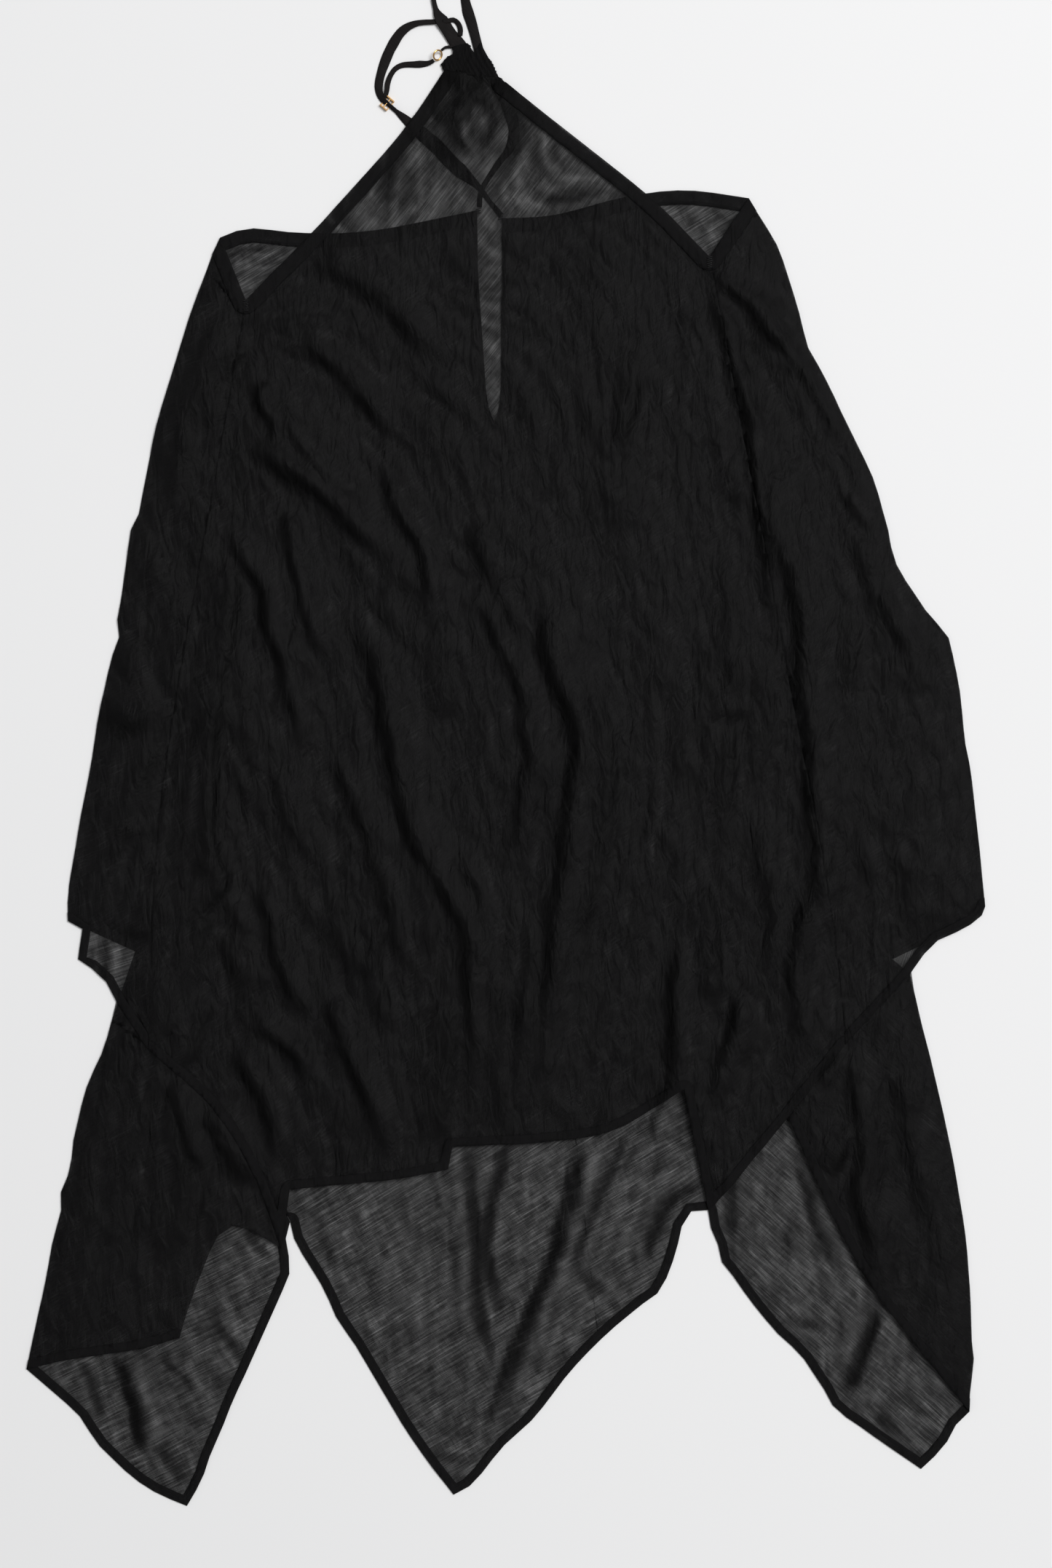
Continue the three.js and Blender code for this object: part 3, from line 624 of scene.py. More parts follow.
class Field:
    """Heights of the two layers of cloth over a square grid."""

    def __init__(self):
        low, high = CAD_BOX
        self.x0 = low[0] - FIELD_MARGIN
        self.y0 = low[1] - FIELD_MARGIN
        across = int((high[0] - low[0] + 2 * FIELD_MARGIN) / FIELD_STEP) + 2
        along = int((high[1] - low[1] + 2 * FIELD_MARGIN) / FIELD_STEP) + 2
        xs = self.x0 + FIELD_STEP * np.arange(across)
        ys = self.y0 + FIELD_STEP * np.arange(along)
        self.x, self.y = np.meshgrid(xs, ys, indexing="ij")

    def sample(self, values, x, y):
        """Reads a field between its grid points."""
        u = np.clip((np.asarray(x) - self.x0) / FIELD_STEP, 0, values.shape[0] - 1.001)
        v = np.clip((np.asarray(y) - self.y0) / FIELD_STEP, 0, values.shape[1] - 1.001)
        i = u.astype(int)
        j = v.astype(int)
        fu = u - i
        fv = v - j
        low = values[i, j] * (1 - fu) + values[i + 1, j] * fu
        high = values[i, j + 1] * (1 - fu) + values[i + 1, j + 1] * fu
        return low * (1 - fv) + high * fv

    def covered(self, names):
        """True over the grid points that any of these nodes covers."""
        verts = []
        faces = []
        for name in names:
            mesh = NODES[name].data
            start = len(verts)
            verts.extend(v.co for v in mesh.vertices)
            faces.extend([start + i for i in p.vertices] for p in mesh.polygons)
        tree = BVHTree.FromPolygons(verts, faces)
        down = Vector((0, 0, -1))
        flat = [
            tree.ray_cast(Vector((x, y, 1.0)), down)[0] is not None
            for x, y in zip(self.x.ravel(), self.y.ravel())
        ]
        return np.array(flat).reshape(self.x.shape)

    def reach(self, inside):
        """How far each covered point is from the edge of what is covered."""
        padded = np.pad(inside, 1)
        near = padded[:-2, 1:-1] | padded[2:, 1:-1] | padded[1:-1, :-2] | padded[1:-1, 2:]
        rim = near & ~inside
        tree = KDTree(int(rim.sum()))
        for i, (x, y) in enumerate(zip(self.x[rim], self.y[rim])):
            tree.insert((x, y, 0), i)
        tree.balance()
        away = np.zeros(self.x.shape)
        away[inside] = [
            tree.find((x, y, 0))[2] for x, y in zip(self.x[inside], self.y[inside])
        ]
        return away

    def ridge(self, points, width, lean):
        """A fold along some points: (height, share of doubled cloth less a painted highlight beside the crest), both
        from 0 to 1.
        """
        line = spline_points(np.array(points) * MM, 0.004)
        width = width * MM
        nearest = np.full(self.x.shape, np.inf)
        side = np.zeros(self.x.shape)
        along = np.zeros(self.x.shape)
        reach = 4 * width
        box = (
            (self.x > line[:, 0].min() - reach) & (self.x < line[:, 0].max() + reach)
            & (self.y > line[:, 1].min() - reach) & (self.y < line[:, 1].max() + reach)
        )
        px = self.x[box]
        py = self.y[box]
        # A fold wavers: it is never quite straight, and never even along its length.
        px, py = (
            px + 0.22 * width * soft_noise(px / 0.016, py / 0.016, 21) + 0.0035 * soft_noise(px / 0.05, py / 0.05, 22),
            py + 0.22 * width * soft_noise(px / 0.016, py / 0.016, 23) + 0.0035 * soft_noise(px / 0.05, py / 0.05, 24),
        )
        near = np.full(px.shape, np.inf)
        off = np.zeros(px.shape)
        gone = np.zeros(px.shape)
        for k, (a, b) in enumerate(zip(line, line[1:])):
            step = b - a
            size = step @ step
            t = np.clip(((px - a[0]) * step[0] + (py - a[1]) * step[1]) / size, 0, 1)
            dx = px - a[0] - t * step[0]
            dy = py - a[1] - t * step[1]
            gap = np.hypot(dx, dy)
            closer = gap < near
            near = np.where(closer, gap, near)
            off = np.where(closer, np.sign(step[0] * dy - step[1] * dx), off)
            gone = np.where(closer, (k + t) / (len(line) - 1), gone)
        nearest[box] = near
        side[box] = off
        along[box] = gone
        signed = nearest * np.where(side == 0, 1, side) * lean
        signed = np.where(np.isinf(signed), 10.0, signed)
        taper = smoothstep(0.0, 0.14, along) * (1 - smoothstep(0.72, 1.0, along))
        steep = np.exp(-((signed / (0.55 * width)) ** 2))
        gentle = np.exp(-((signed / (1.6 * width)) ** 2))
        height = np.where(signed > 0, steep, gentle) * taper
        off = signed - 0.4 * width
        core = np.where(off > 0, np.exp(-((off / (0.3 * width)) ** 2)), np.exp(-((off / (0.75 * width)) ** 2)))
        # Painted highlight: a band beside the fold counts as less cloth, so the voile's colour is lighter and a little
        # more see-through there.
        crest = np.exp(-(((signed + 1.0 * width) / (0.5 * width)) ** 2))
        return height, (core - 0.22 * crest) * taper


field = Field()
drape = {}


def lay_cloth():
    """Works out the heights of the lower and the upper layer, and where they are doubled, which also sets the painted
    shade and highlight in the voile's colour.
    """
    cloth = settings().cloth
    x, y = field.x, field.y
    lower_nodes = [n for n in NODES if is_cloth(n) and level(n) == LOWER]
    upper_nodes = [n for n in NODES if is_cloth(n) and level(n) == UPPER]
    lower_in = field.covered(lower_nodes)
    upper_in = field.covered(upper_nodes)
    edge = field.reach(lower_in | upper_in)
    lower_edge = field.reach(lower_in)
    calm = 0.22 + 0.78 * smoothstep(0.0, 0.03, edge)

    flow = flow_of(UPPER_FOLDS + LOWER_FOLDS + LIE)
    broad = drawn_out(soft_noise(x / 0.055, y / 0.055, 11), flow, 0.09)
    wander = soft_noise(x / 0.035, y / 0.035, 15)
    crease = drawn_out(soft_noise(x / 0.022, y / 0.022, 12), flow, 0.045) + 0.5 * wander
    crease = np.clip(1 - np.abs(crease) * 0.9, 0, 1) ** 2
    small = drawn_out(soft_noise(x / 0.013, y / 0.013, 13), flow, 0.022) + 0.6 * wander
    small = np.clip(1 - np.abs(small) * 1.2, 0, 1) ** 2
    patch = smoothstep(-0.35, 0.30, soft_noise(x / 0.10, y / 0.12, 14))
    grain = drawn_out(soft_noise(x / 0.008, y / 0.008, 18), flow, 0.012)
    crumple = cloth.crumple_height * np.clip(
        0.22 * broad + 1.0 * crease * (0.25 + 0.75 * patch) + 0.45 * small * (1 - 0.6 * patch) + 0.35,
        0, None,
    )

    uneven = np.clip(0.86 + 0.55 * soft_noise(x / 0.034, y / 0.034, 16) + 0.35 * soft_noise(x / 0.009, y / 0.009, 17),
                     0.3, 1.3)

    def folds(lines):
        height = np.zeros(x.shape)
        core = np.zeros(x.shape)
        for strength, width, lean, *points in lines:
            h, c = field.ridge(points, width, lean)
            height = np.maximum(height, strength * h)
            core = np.where(np.abs(c) > np.abs(core / max(strength, 0.01)), strength * c, core)
        return height, core * uneven

    lower_fold, lower_core = folds(LOWER_FOLDS)
    upper_fold, upper_core = folds(UPPER_FOLDS)

    lower = 0.0003 + calm * (0.45 * crumple + 0.8 * cloth.fold_height * lower_fold)
    lower = blurred(lower, 1)

    under = np.where(lower_in, lower + cloth.thickness, 0.0)
    under = np.maximum(under, strap_cover())
    under = np.maximum(under, blurred(under, 3))
    gap = 0.0006 + cloth.layer_gap * smoothstep(0.0, 0.012, edge)
    upper = under + gap + calm * (crumple + cloth.fold_height * upper_fold)
    upper = blurred(upper, 1)

    drape["height"] = [lower, upper]
    # Small creases count as extra cloth crossed: the voile is less see-through there, and painted shade darkens its
    # colour; the crossed values set both.
    fine_core = (
        0.55 * np.clip(crease - 0.45, 0, 1) * (0.35 + 0.65 * patch) + 0.40 * np.clip(small - 0.45, 0, 1)
        + 0.12 * grain
    )
    drape["crossed"] = [
        crossings(lower) + 1.3 * lower_core + 0.6 * fine_core,
        crossings(upper) + 1.4 * upper_core + fine_core + gathers()[1],
    ]
    drape["height"][UPPER] = upper + 0.0016 * gathers()[0]


# Places with no strong fold, and how the small creases lie there.
LIE = [
    (0, 0, 0, (-80, 420), (-30, 370)), (0, 0, 0, (60, 420), (90, 370)), (0, 0, 0, (120, 130), (130, 70)),
    (0, 0, 0, (330, 20), (345, -50)), (0, 0, 0, (140, 60), (145, 0)), (0, 0, 0, (20, 330), (40, 260)),
    (0, 0, 0, (-60, 560), (-75, 520)), (0, 0, 0, (30, 560), (50, 520)), (0, 0, 0, (-100, -430), (-70, -500)),
    (0, 0, 0, (160, 380), (165, 300)), (0, 0, 0, (-350, 300), (-340, 240)),
]


def flow_of(lines):
    """The direction that the cloth's creases follow at each point, from folds near by."""
    x, y = field.x, field.y
    cos2 = np.full(x.shape, -0.02)
    sin2 = np.full(x.shape, -0.01)
    for _, _, _, *points in lines:
        points = np.array(points) * MM
        for a, b in zip(points, points[1:]):
            angle = 2 * math.atan2(b[1] - a[1], b[0] - a[0])
            gap2 = (x - (a[0] + b[0]) / 2) ** 2 + (y - (a[1] + b[1]) / 2) ** 2
            weight = 1 / (gap2 / 0.03 ** 2 + 0.3) ** 1.5
            cos2 += weight * math.cos(angle)
            sin2 += weight * math.sin(angle)
    angle = np.arctan2(sin2, cos2) / 2
    return np.cos(angle), np.sin(angle)


def drawn_out(values, flow, length):
    """Draws a field out along the flow, so that its bumps become creases. Evened to 1."""
    steps = max(2, round(length / FIELD_STEP))
    total = values.copy()
    for way in (1, -1):
        px, py = field.x.copy(), field.y.copy()
        last = None
        for _ in range(steps):
            fx = field.sample(flow[0], px, py)
            fy = field.sample(flow[1], px, py)
            if last is not None:
                turn = np.where(fx * last[0] + fy * last[1] < 0, -1, 1)
                fx = fx * turn
                fy = fy * turn
            last = (fx, fy)
            px = px + fx * FIELD_STEP * way
            py = py + fy * FIELD_STEP * way
            total += field.sample(values, px, py)
    return total / total.std()


def crossings(height):
    """How much more cloth than when flat lies over each point: the slope's share."""
    dx, dy = np.gradient(height, FIELD_STEP)
    return np.sqrt(1 + 2.0 * (dx * dx + dy * dy))


GATHER_POINT = (-0.029, 0.668)


def gathers():
    """Pleats that fan out from the neck casing and die away down the halter: how high they
    stand and how much more cloth they put in the light's way, which also paints shade into
    the voile's colour along the pleats and where the cloth bunches by the casing."""
    dx = field.x - GATHER_POINT[0]
    dy = field.y - GATHER_POINT[1]
    away = np.hypot(dx, dy) + 0.010 * soft_noise(field.x / 0.022, field.y / 0.022, 32)
    turn = np.arctan2(dx, -dy)
    fade = smoothstep(0.020, 0.040, away) * (1 - smoothstep(0.060, 0.125, away))
    wave = soft_noise(turn / 0.20, away / 0.05, 31)
    pleat = np.clip(1 - np.abs(wave) * 2.6, 0, 1)
    bunched = (1 - smoothstep(0.046, 0.082, away)) * (0.75 + 0.8 * soft_noise(turn / 0.14, away / 0.03, 33))
    return fade * pleat, 1.1 * fade * pleat ** 2 + 1.5 * np.clip(bunched, 0, None)


def level(name):
    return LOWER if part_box(name)[1][2] < LOWER_TOP else UPPER


# ---- Straps ------------------------------------------------------------------------------
# Routes in metres, from end to end; each point's height above the floor comes from the strap's shape.

ROUTES = {
    "neck_strap": [
        (-0.038, 0.646), (-0.048, 0.659), (-0.055, 0.670), (-0.061, 0.680), (-0.064, 0.692),
        (-0.066, 0.711), (-0.068, 0.743), (-0.068, 0.776), (-0.062, 0.803), (-0.048, 0.815),
        (-0.034, 0.803), (-0.028, 0.780), (-0.028, 0.750), (-0.032, 0.721), (-0.036, 0.698),
        (-0.034, 0.683), (-0.030, 0.670), (-0.027, 0.659), (-0.023, 0.644),
    ],
    "adjuster_strap": [
        (-0.060, 0.6715), (-0.079, 0.670), (-0.092, 0.663), (-0.102, 0.648), (-0.109, 0.631),
        (-0.1125, 0.618), (-0.1125, 0.609), (-0.1095, 0.602), (-0.1055, 0.5985), (-0.098, 0.592),
        (-0.088, 0.5834), (-0.078, 0.5748), (-0.068, 0.5661), (-0.060, 0.559), (-0.048, 0.546),
        (-0.025, 0.525), (-0.014, 0.511), (-0.0036, 0.4986),
    ],
    "crossed_strap": [
        (-0.017, 0.627), (-0.003, 0.607), (0.004, 0.592), (0.008, 0.574), (0.004, 0.558),
        (-0.006, 0.545), (-0.017, 0.529), (-0.022, 0.518), (-0.023, 0.506),
    ],
    "return_strap": [
        (-0.1072, 0.6035), (-0.1055, 0.610), (-0.1049, 0.616), (-0.1026, 0.623), (-0.098, 0.6295), (-0.091, 0.6328),
        (-0.079, 0.6333), (-0.069, 0.6342), (-0.0636, 0.6365),
    ],
    "ring_loop": [(-0.0568, 0.6455), (-0.053, 0.6485), (-0.046, 0.649)],
    "hanger_loop": [
        (-0.0570, 0.6712), (-0.0520, 0.6716), (-0.0465, 0.6730), (-0.0422, 0.6700), (-0.0400, 0.6645),
        (-0.0402, 0.6585),
    ],
}

# Each strap's widths in metres and heights of its middle, at shares of its length.
STRAP_SHAPES = {
    "neck_strap": {
        "width": [(0, 0.013), (0.09, 0.0115), (0.12, 0.0048), (0.20, 0.0038), (0.40, 0.009), (0.55, 0.010),
                  (0.70, 0.0075), (0.80, 0.0073), (0.85, 0.0075), (0.90, 0.0100), (0.95, 0.0088),
                  (1, 0.0080)],
        "height": [(0, 0.0012), (0.2, 0.0009), (0.8, 0.0009), (0.95, 0.0012), (1, 0.0016)],
        "twist": [(0, 0), (0.12, 0.3), (0.22, 0.8), (0.38, 0.0), (0.65, 0.0), (0.72, 0.6), (0.80, 0.1), (1, 0)],
    },
    "adjuster_strap": {
        "width": [(0, 0.0048), (0.07, 0.0056), (0.14, 0.0086), (0.24, 0.0095), (0.33, 0.0078), (0.39, 0.0066), (0.435, 0.0044),
                  (0.47, 0.0042), (0.54, 0.0095), (0.60, 0.0128), (0.78, 0.0128), (0.855, 0.0064), (0.93, 0.0042),
                  (1, 0.0048)],
        "height": [(0, 0.0020), (0.06, 0.0010), (0.36, 0.0010), (0.41, 0.0017), (0.45, 0.0017), (0.52, 0.0010),
                   (0.82, 0.0012), (0.89, 0.0021), (0.95, 0.0014), (1, 0.0014)],
        "twist": [(0, 0.3), (0.2, 0.0), (0.36, 0.0), (0.43, 0.8), (0.53, 0.1), (0.80, 0.0), (0.87, 0.5), (1, 0)],
    },
    "crossed_strap": {
        "width": [(0, 0.010), (0.35, 0.011), (0.60, 0.0085), (0.75, 0.005), (1, 0.0045)],
        "height": [(0, 0.0012), (0.3, 0.0008), (0.85, 0.0007), (1, 0.0009)],
        "twist": [(0, 0), (0.45, 0.0), (0.60, 0.6), (0.75, 0.2), (1, 0)],
    },
    "return_strap": {
        "width": [(0, 0.0044), (0.2, 0.0048), (0.5, 0.0046), (0.8, 0.0060), (1, 0.0034)],
        "height": [(0, 0.0030), (0.12, 0.0026), (0.3, 0.0012), (0.85, 0.0014), (1, 0.0030)],
        "twist": [(0, 0.5), (0.3, 0.1), (0.7, 0.3), (1, 0.2)],
    },
    "ring_loop": {
        "width": [(0, 0.0022), (0.5, 0.0026), (1, 0.003)],
        "height": [(0, 0.0030), (0.5, 0.0018), (1, 0.0016)],
        "twist": [(0, 0), (1, 0)],
    },
    "hanger_loop": {
        "width": [(0, 0.0040), (0.4, 0.0044), (0.7, 0.0046), (1, 0.0042)],
        "height": [(0, 0.0024), (0.2, 0.0024), (0.5, 0.0014), (0.85, 0.0018), (1, 0.0026)],
        "twist": [(0, 0), (0.5, 0.4), (1, 0)],
    },
}


def strap_line(name, spacing=0.0022):
    """The strap's middle line in three dimensions, and each point's share of its length. Where
    the strap turns on edge it is lifted clear of the floor."""
    flat = spline_points(ROUTES[name], spacing)
    share = np.linspace(0, 1, len(flat))
    shape = STRAP_SHAPES[name]
    height = np.interp(share, *zip(*shape["height"]))
    width = np.interp(share, *zip(*shape["width"]))
    twist = np.interp(share, *zip(*shape["twist"]))
    rise = 0.56 * width * np.abs(np.sin(twist)) + 0.6 * settings().strap.thickness
    return np.column_stack([flat, np.maximum(height, rise + 0.0001)]), share


def strap_cover():
    """Heights that lift the upper cloth clear of the straps under it."""
    cover = np.zeros(field.x.shape)
    for name in ("adjuster_strap", "crossed_strap", "neck_strap"):
        line, share = strap_line(name, 0.004)
        width = np.interp(share, *zip(*STRAP_SHAPES[name]["width"]))
        for point, wide in zip(line, width):
            gap = np.hypot(field.x - point[0], field.y - point[1])
            top = point[2] + 0.6 * settings().strap.thickness
            cover = np.maximum(cover, np.where(gap < wide / 2 + 0.003, top, 0))
    return cover


def draw_along(places, segments):
    """A closed tube: one ring of points, drawn out from place to place."""
    mesh = bmesh.new()
    ring = bmesh.ops.create_circle(mesh, cap_ends=False, radius=1, segments=segments)["verts"]
    bmesh.ops.transform(mesh, matrix=places[0], verts=ring)
    first = list({e for v in ring for e in v.link_edges})
    edges = first
    for before, after in zip(places, places[1:]):
        out = bmesh.ops.extrude_edge_only(mesh, edges=edges)["geom"]
        ring = [g for g in out if isinstance(g, bmesh.types.BMVert)]
        edges = [g for g in out if isinstance(g, bmesh.types.BMEdge)]
        bmesh.ops.transform(mesh, matrix=after @ before.inverted(), verts=ring)
    bmesh.ops.edgeloop_fill(mesh, edges=first)
    bmesh.ops.edgeloop_fill(mesh, edges=edges)
    bmesh.ops.recalc_face_normals(mesh, faces=mesh.faces)
    return mesh


def frames_along(line, widths, thicknesses, twists):
    """Places a flat oval at each point of a line, turned about the line by the twist."""
    places = []
    for i, point in enumerate(line):
        ahead = Vector(line[min(i + 1, len(line) - 1)] - line[max(i - 1, 0)]).normalized()
        flat = Vector((ahead.x, ahead.y, 0)).normalized()
        side = Matrix.Rotation(twists[i], 3, ahead) @ Vector((-flat.y, flat.x, 0))
        up = ahead.cross(side).normalized()
        base = Matrix((side, up, ahead)).transposed().to_4x4()
        size = Matrix.Diagonal((widths[i] / 2, thicknesses[i] / 2, 1, 1))
        places.append(Matrix.Translation(point) @ base @ size)
    return places


def sweep_strap(name, body="garment"):
    """A pressed tube that follows its route."""
    line, share = strap_line(name)
    shape = STRAP_SHAPES[name]
    twist = np.interp(share, *zip(*shape["twist"]))
    ruffle = 1 + 0.10 * soft_noise(share * len(line) / 5, np.full(len(line), len(name) + 0.5), 41)
    width = np.interp(share, *zip(*shape["width"])) * ruffle
    thick = settings().strap.thickness * (1 + 0.5 * np.abs(np.sin(twist)))
    mesh = draw_along(frames_along(line, width, thick, twist), 12)
    return add_piece(name + "_cloth", mesh, "strap", body), line


# ---- Pieces ------------------------------------------------------------------------------

CLOTH_KINDS = ("voile", "turned_edge")
SLOTS = {row["node"]: row["material_slot"] for row in frame["record"]["subparts"]}


def is_cloth(name):
    return SLOTS[name] in CLOTH_KINDS


def add_piece(name, mesh, kind, body="garment", smooth=True):
    """Turns a bmesh into a piece of the cape that rides on a body."""
    data = bpy.data.meshes.new(name)
    mesh.to_mesh(data)
    mesh.free()
    if smooth:
        data.polygons.foreach_set("use_smooth", [True] * len(data.polygons))
    data.materials.append(material_for(kind))
    piece = bpy.data.objects.new(name, data)
    bpy.context.collection.objects.link(piece)
    if body:
        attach(piece, body)
    return piece


def cap_of(name):
    """A flat copy of a node's upper face, as a bmesh with clean outlines."""
    mesh = bmesh.new()
    mesh.from_mesh(NODES[name].data)
    bmesh.ops.remove_doubles(mesh, verts=mesh.verts, dist=1e-5)
    mesh.normal_update()
    rest = [f for f in mesh.faces if f.normal.z < 0.9]
    bmesh.ops.delete(mesh, geom=rest, context="FACES")
    return mesh


def grow_edges(mesh, neighbours, far, near):
    """Moves an outline outwards where another piece lies beside it: far under a band or a
    hem, and near at a seam between two panels."""
    moves = []
    for vert in mesh.verts:
        rim = [e for e in vert.link_edges if e.is_boundary]
        if len(rim) < 2:
            continue
        out = Vector((0, 0, 0))
        for e in rim:
            face = e.link_faces[0]
            along = (e.verts[1].co - e.verts[0].co).normalized()
            normal = Vector((along.y, -along.x, 0))
            middle = (e.verts[0].co + e.verts[1].co) / 2
            if (face.calc_center_median() - middle).dot(normal) > 0:
                normal = -normal
            out += normal
        if out.length < 0.2:
            continue
        out.normalize()
        probe = vert.co + out * 0.0012
        probe.z = 1.0
        move = 0.0
        for tree, kind in neighbours:
            if tree.ray_cast(probe, Vector((0, 0, -1)))[0] is not None:
                move = max(move, far if kind == "turned_edge" else near)
        if move:
            moves.append((vert, out * move))
    for vert, move in moves:
        vert.co += move


def cut_grid(mesh, step):
    """Cuts a flat mesh into squares."""
    bmesh.ops.dissolve_limit(
        mesh, angle_limit=math.radians(1), use_dissolve_boundaries=False, verts=mesh.verts,
        edges=mesh.edges,
    )
    for axis in (0, 1):
        values = [v.co[axis] for v in mesh.verts]
        first = math.ceil(min(values) / step)
        last = math.floor(max(values) / step)
        normal = Vector((1, 0, 0)) if axis == 0 else Vector((0, 1, 0))
        for i in range(first, last + 1):
            geom = mesh.verts[:] + mesh.edges[:] + mesh.faces[:]
            bmesh.ops.bisect_plane(mesh, geom=geom, dist=1e-6, plane_co=normal * (i * step), plane_no=normal)


def node_trees(layer, skip):
    trees = []
    for name in NODES:
        if name != skip and is_cloth(name) and level(name) == layer:
            mesh = NODES[name].data
            tree = BVHTree.FromPolygons(
                [v.co for v in mesh.vertices], [list(p.vertices) for p in mesh.polygons]
            )
            trees.append((tree, SLOTS[name]))
    return trees


# Direction of the yarn in degrees from +X, by panel.
YARN_TURN = {
    "front_panel": 52, "back_panel": 31, "side_panel_left": 20, "side_panel_right": 70,
    "wing_left_under": 27, "wing_left_over": 35, "wing_right_under": -42, "wing_right_over": -40,
}


def yarn_turn(name):
    return math.radians(YARN_TURN.get(name, 45))


def mark_cloth(mesh, crossed, turn):
    """Writes what the voile reads: how much cloth light has to cross, which also sets the painted shade and highlight
    in its colour, and the yarn's direction.
    """
    attribute = mesh.verts.layers.float.new("cloth_crossed_and_painted_shade")
    for vert, share in zip(mesh.verts, crossed):
        vert[attribute] = share
    uv = mesh.loops.layers.uv.new("yarn")
    for face in mesh.faces:
        for loop in face.loops:
            px, py = loop.vert.co.x, loop.vert.co.y
            loop[uv].uv = (
                px * math.cos(turn) + py * math.sin(turn), py * math.cos(turn) - px * math.sin(turn)
            )
    mesh.normal_update()


def add_cloth(name, lift, thickness, far=0.0, near=0.0):
    """A panel, band or hem cut from its node's outline and laid over its layer's heights."""
    layer = level(name)
    mesh = cap_of(name)
    if far or near:
        grow_edges(mesh, node_trees(layer, name), far, near)
    cut_grid(mesh, settings().cloth.mesh_step)
    x = np.array([v.co.x for v in mesh.verts])
    y = np.array([v.co.y for v in mesh.verts])
    for vert, height in zip(mesh.verts, field.sample(drape["height"][layer], x, y) + lift):
        vert.co.z = height
    mark_cloth(mesh, field.sample(drape["crossed"][layer], x, y), yarn_turn(name))
    piece = add_piece(name + "_cloth", mesh, SLOTS[name])
    wall = piece.modifiers.new("thickness", "SOLIDIFY")
    wall.thickness = thickness
    wall.offset = 1.0
    wall.use_even_offset = False
    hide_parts(name)
    return piece


# Each panel's cut: width, length and area in metres and square metres.
PANEL_CUTS = {
    "back_panel": (0.835, 1.165, 0.640),
    "front_panel": (0.635, 1.045, 0.470),
    "side_panel_left": (0.165, 0.705, 0.045),
    "side_panel_right": (0.255, 0.745, 0.082),
    "wing_left_under": (0.240, 0.500, 0.070),
    "wing_left_over": (0.235, 0.330, 0.041),
    "wing_right_under": (0.245, 0.460, 0.067),
    "wing_right_over": (0.170, 0.395, 0.035),
}


# ---- Operators ---------------------------------------------------------------------------


class HALTERCAPE_OT_stage(bpy.types.Operator):
    """Sets the floor, the soft light and the camera that looks straight down"""

    bl_idname = "halter_cape.stage"
    bl_label = "Stage"

    VIEW_CENTRE = (0.0185, -0.0088)
    VIEW_LENGTH = 1.400
    SENSOR = 36.0
    KEY_PLACE = (3.0, 2.0, 6.6)

    def execute(self, context):
        stage = settings().stage
        camera_data = bpy.data.cameras.new("camera")
        camera_data.sensor_width = self.SENSOR
        camera_data.lens = self.SENSOR * stage.camera_height / self.VIEW_LENGTH
        camera = bpy.data.objects.new("camera", camera_data)
        camera.location = (*self.VIEW_CENTRE, stage.camera_height)
        context.collection.objects.link(camera)
        context.scene.camera = camera

        mesh = bmesh.new()
        bmesh.ops.create_grid(mesh, x_segments=1, y_segments=1, size=4.0)
        floor_data = bpy.data.meshes.new("floor")
        mesh.to_mesh(floor_data)
        mesh.free()
        floor_data.materials.append(floor_material("white_paper_sweep", stage.floor_colour))
        floor = bpy.data.objects.new("floor", floor_data)
        context.collection.objects.link(floor)

        key_data = bpy.data.lights.new("key_light", "AREA")
        key_data.shape = "RECTANGLE"
        key_data.size = 3.4
        key_data.size_y = 3.4
        key_data.energy = stage.key_power
        key = bpy.data.objects.new("key_light", key_data)
        key.location = self.KEY_PLACE
        key.rotation_euler = Vector(self.KEY_PLACE).to_track_quat("Z", "Y").to_euler()
        context.collection.objects.link(key)

        world = bpy.data.worlds.new("studio")
        world.use_nodes = True
        sky = world.node_tree.nodes["Background"]
        sky.inputs["Color"].default_value = (1.0, 1.0, 1.0, 1.0)
        sky.inputs["Strength"].default_value = stage.sky_strength
        context.scene.world = world
        context.scene.view_settings.view_transform = "Standard"
        context.scene.cycles.transparent_max_bounces = 24
        return {"FINISHED"}


class HALTERCAPE_OT_straps(bpy.types.Operator):
    """Makes the neck strap, the crossed back straps and the small loops"""

    bl_idname = "halter_cape.straps"
    bl_label = "Straps"

    # The return strap stays with the garment down to the first point and loops round the slider
    # at the second.
    RETURN_HELD = (-0.0990, 0.6285, 0.0012)
    RETURN_LOOPED = (-0.1068, 0.6050, 0.0030)

    # Nominal widths and lengths of the straps that count as cords, in metres.
    CORDS = {
        "neck_strap": (0.010, 0.365),
        "adjuster_strap": (0.008, 0.246),
        "crossed_strap": (0.0085, 0.136),
        "return_strap": (0.0046, 0.063),
    }

    def execute(self, context):
        for name in ROUTES:
            piece, line = sweep_strap(name, None if name == "return_strap" else "garment")
            if name == "return_strap":
                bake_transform(piece)
            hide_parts(name)
        return {"FINISHED"}


class HALTERCAPE_OT_panels(bpy.types.Operator):
    """Lays the eight panels of voile over the folds of their layer"""

    bl_idname = "halter_cape.panels"
    bl_label = "Panels"

    def execute(self, context):
        thickness = settings().cloth.thickness
        for name, (width, length, area) in PANEL_CUTS.items():
            piece = add_cloth(name, 0.0, thickness, far=0.0035, near=0.0004)
        return {"FINISHED"}


class HALTERCAPE_OT_edges(bpy.types.Operator):
    """Makes the bands, bindings and rolled hems along the panels' edges"""

    bl_idname = "halter_cape.edges"
    bl_label = "Bands and hems"

    def execute(self, context):
        cloth = settings().cloth
        for name, kind in SLOTS.items():
            if kind == "turned_edge" and name != "neck_casing":
                add_cloth(name, cloth.thickness + 0.0001, cloth.turned_thickness)
        return {"FINISHED"}


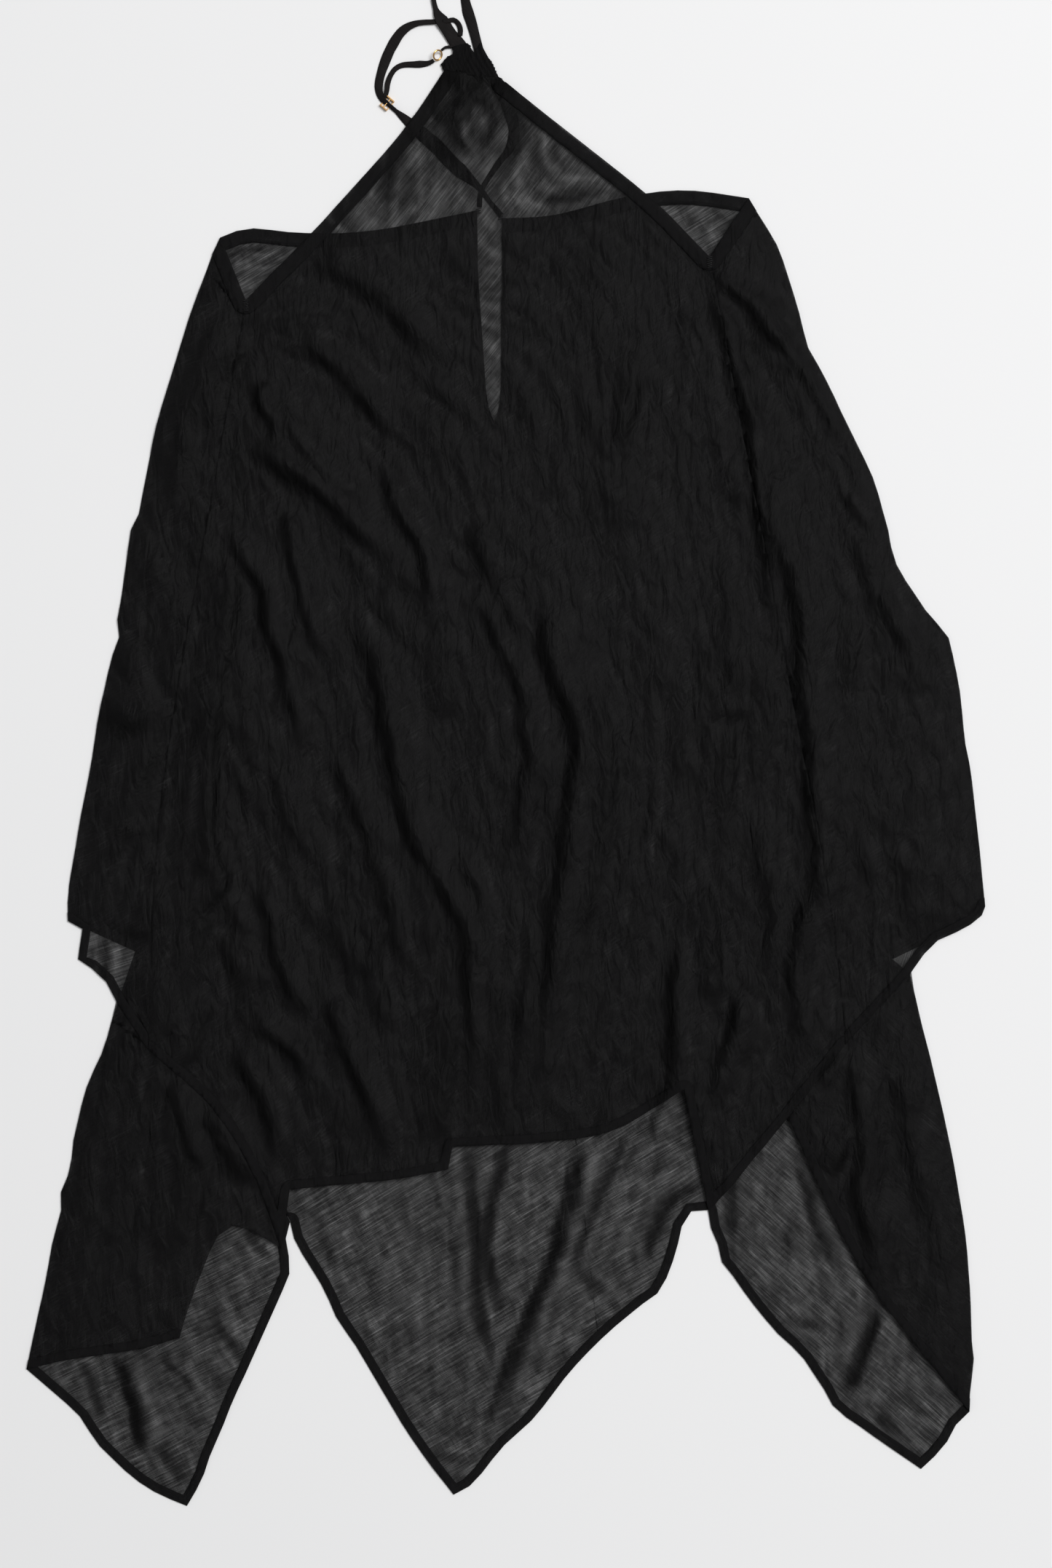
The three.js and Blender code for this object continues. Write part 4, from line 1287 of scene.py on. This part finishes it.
class HALTERCAPE_OT_casing(bpy.types.Operator):
    """Makes the gathered casing at the neck"""

    bl_idname = "halter_cape.casing"
    bl_label = "Neck casing"

    def execute(self, context):
        mesh = cap_of("neck_casing")
        cut_grid(mesh, 0.0015)
        low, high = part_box("neck_casing")
        pleat = 0.0042
        deep = []
        for vert in mesh.verts:
            run = vert.co.x + 0.45 * (vert.co.y - low[1])
            waver = 2.6 * math.sin(vert.co.y / 0.009) + 1.9 * math.sin(vert.co.x / 0.007)
            wave = math.sin(run / pleat * 2 * math.pi + waver)
            vert.co.z = 0.0036 + 0.0007 * wave
            # Painted shade and highlight: the pleats' valleys count as more cloth crossed, so the colour is darker
            # there and lighter on the tops.
            deep.append(1.75 - 0.45 * wave)
        mark_cloth(mesh, deep, math.radians(100))
        piece = add_piece("neck_casing_cloth", mesh, "turned_edge")
        wall = piece.modifiers.new("thickness", "SOLIDIFY")
        wall.thickness = 0.0022
        wall.offset = -1.0
        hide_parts("neck_casing")
        return {"FINISHED"}


class HALTERCAPE_OT_thread(bpy.types.Operator):
    """Sews the bar tacks"""

    bl_idname = "halter_cape.thread"
    bl_label = "Thread"

    STITCH_APART = 0.0008
    THREAD_WIDTH = 0.0006

    def execute(self, context):
        for name, kind in SLOTS.items():
            if kind != "thread":
                continue
            low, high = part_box(name)
            count = int((high[1] - low[1]) / self.STITCH_APART)
            y = np.linspace(low[1], high[1], count)
            x = np.where(np.arange(count) % 2 == 0, low[0], high[0])
            layer = UPPER if name.startswith("underarm") else LOWER
            under = field.sample(blurred(drape["height"][layer], 2), x, y)
            line = np.column_stack([x, y, under + settings().cloth.turned_thickness + 0.0012])
            line = spline_points(line, 0.0012)
            even = np.ones(len(line)) * self.THREAD_WIDTH
            piece = add_piece(name + "_stitches", draw_along(frames_along(line, even, even, 0 * even), 6), "thread")
            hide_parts(name)
        return {"FINISHED"}


class HALTERCAPE_OT_hardware(bpy.types.Operator):
    """Finishes the ring and the slider"""

    bl_idname = "halter_cape.hardware"
    bl_label = "Ring and slider"

    def execute(self, context):
        for name in ("ring", "slider"):
            NODES[name].data.materials.clear()
            NODES[name].data.materials.append(material_for("gilt"))
        return {"FINISHED"}


OPERATORS = (
    HALTERCAPE_OT_stage, HALTERCAPE_OT_straps, HALTERCAPE_OT_panels, HALTERCAPE_OT_edges,
    HALTERCAPE_OT_casing, HALTERCAPE_OT_thread, HALTERCAPE_OT_hardware,
)


class HALTERCAPE_PT_panel(bpy.types.Panel):
    """Lists the steps that build the cape"""

    bl_idname = "HALTERCAPE_PT_panel"
    bl_label = "Halter cape"
    bl_space_type = "VIEW_3D"
    bl_region_type = "UI"
    bl_category = "Halter cape"

    def draw(self, context):
        for group in ("cloth", "strap", "stage"):
            box = self.layout.box()
            values = getattr(settings(), group)
            for key in values.bl_rna.properties.keys():
                if key not in ("rna_type", "name"):
                    box.prop(values, key)
        for operator in OPERATORS:
            self.layout.operator(operator.bl_idname)


CLASSES = (ClothSettings, StrapSettings, StageSettings, CapeSettings, *OPERATORS, HALTERCAPE_PT_panel)


def register():
    for cls in CLASSES:
        bpy.utils.register_class(cls)
    bpy.types.Scene.halter_cape = bpy.props.PointerProperty(type=CapeSettings)


def unregister():
    del bpy.types.Scene.halter_cape
    for cls in reversed(CLASSES):
        bpy.utils.unregister_class(cls)


def main():
    register()
    bpy.ops.halter_cape.stage()
    bpy.ops.halter_cape.straps()
    lay_cloth()
    bpy.ops.halter_cape.panels()
    bpy.ops.halter_cape.edges()
    bpy.ops.halter_cape.casing()
    bpy.ops.halter_cape.thread()
    bpy.ops.halter_cape.hardware()


if __name__ == "__main__":
    main()
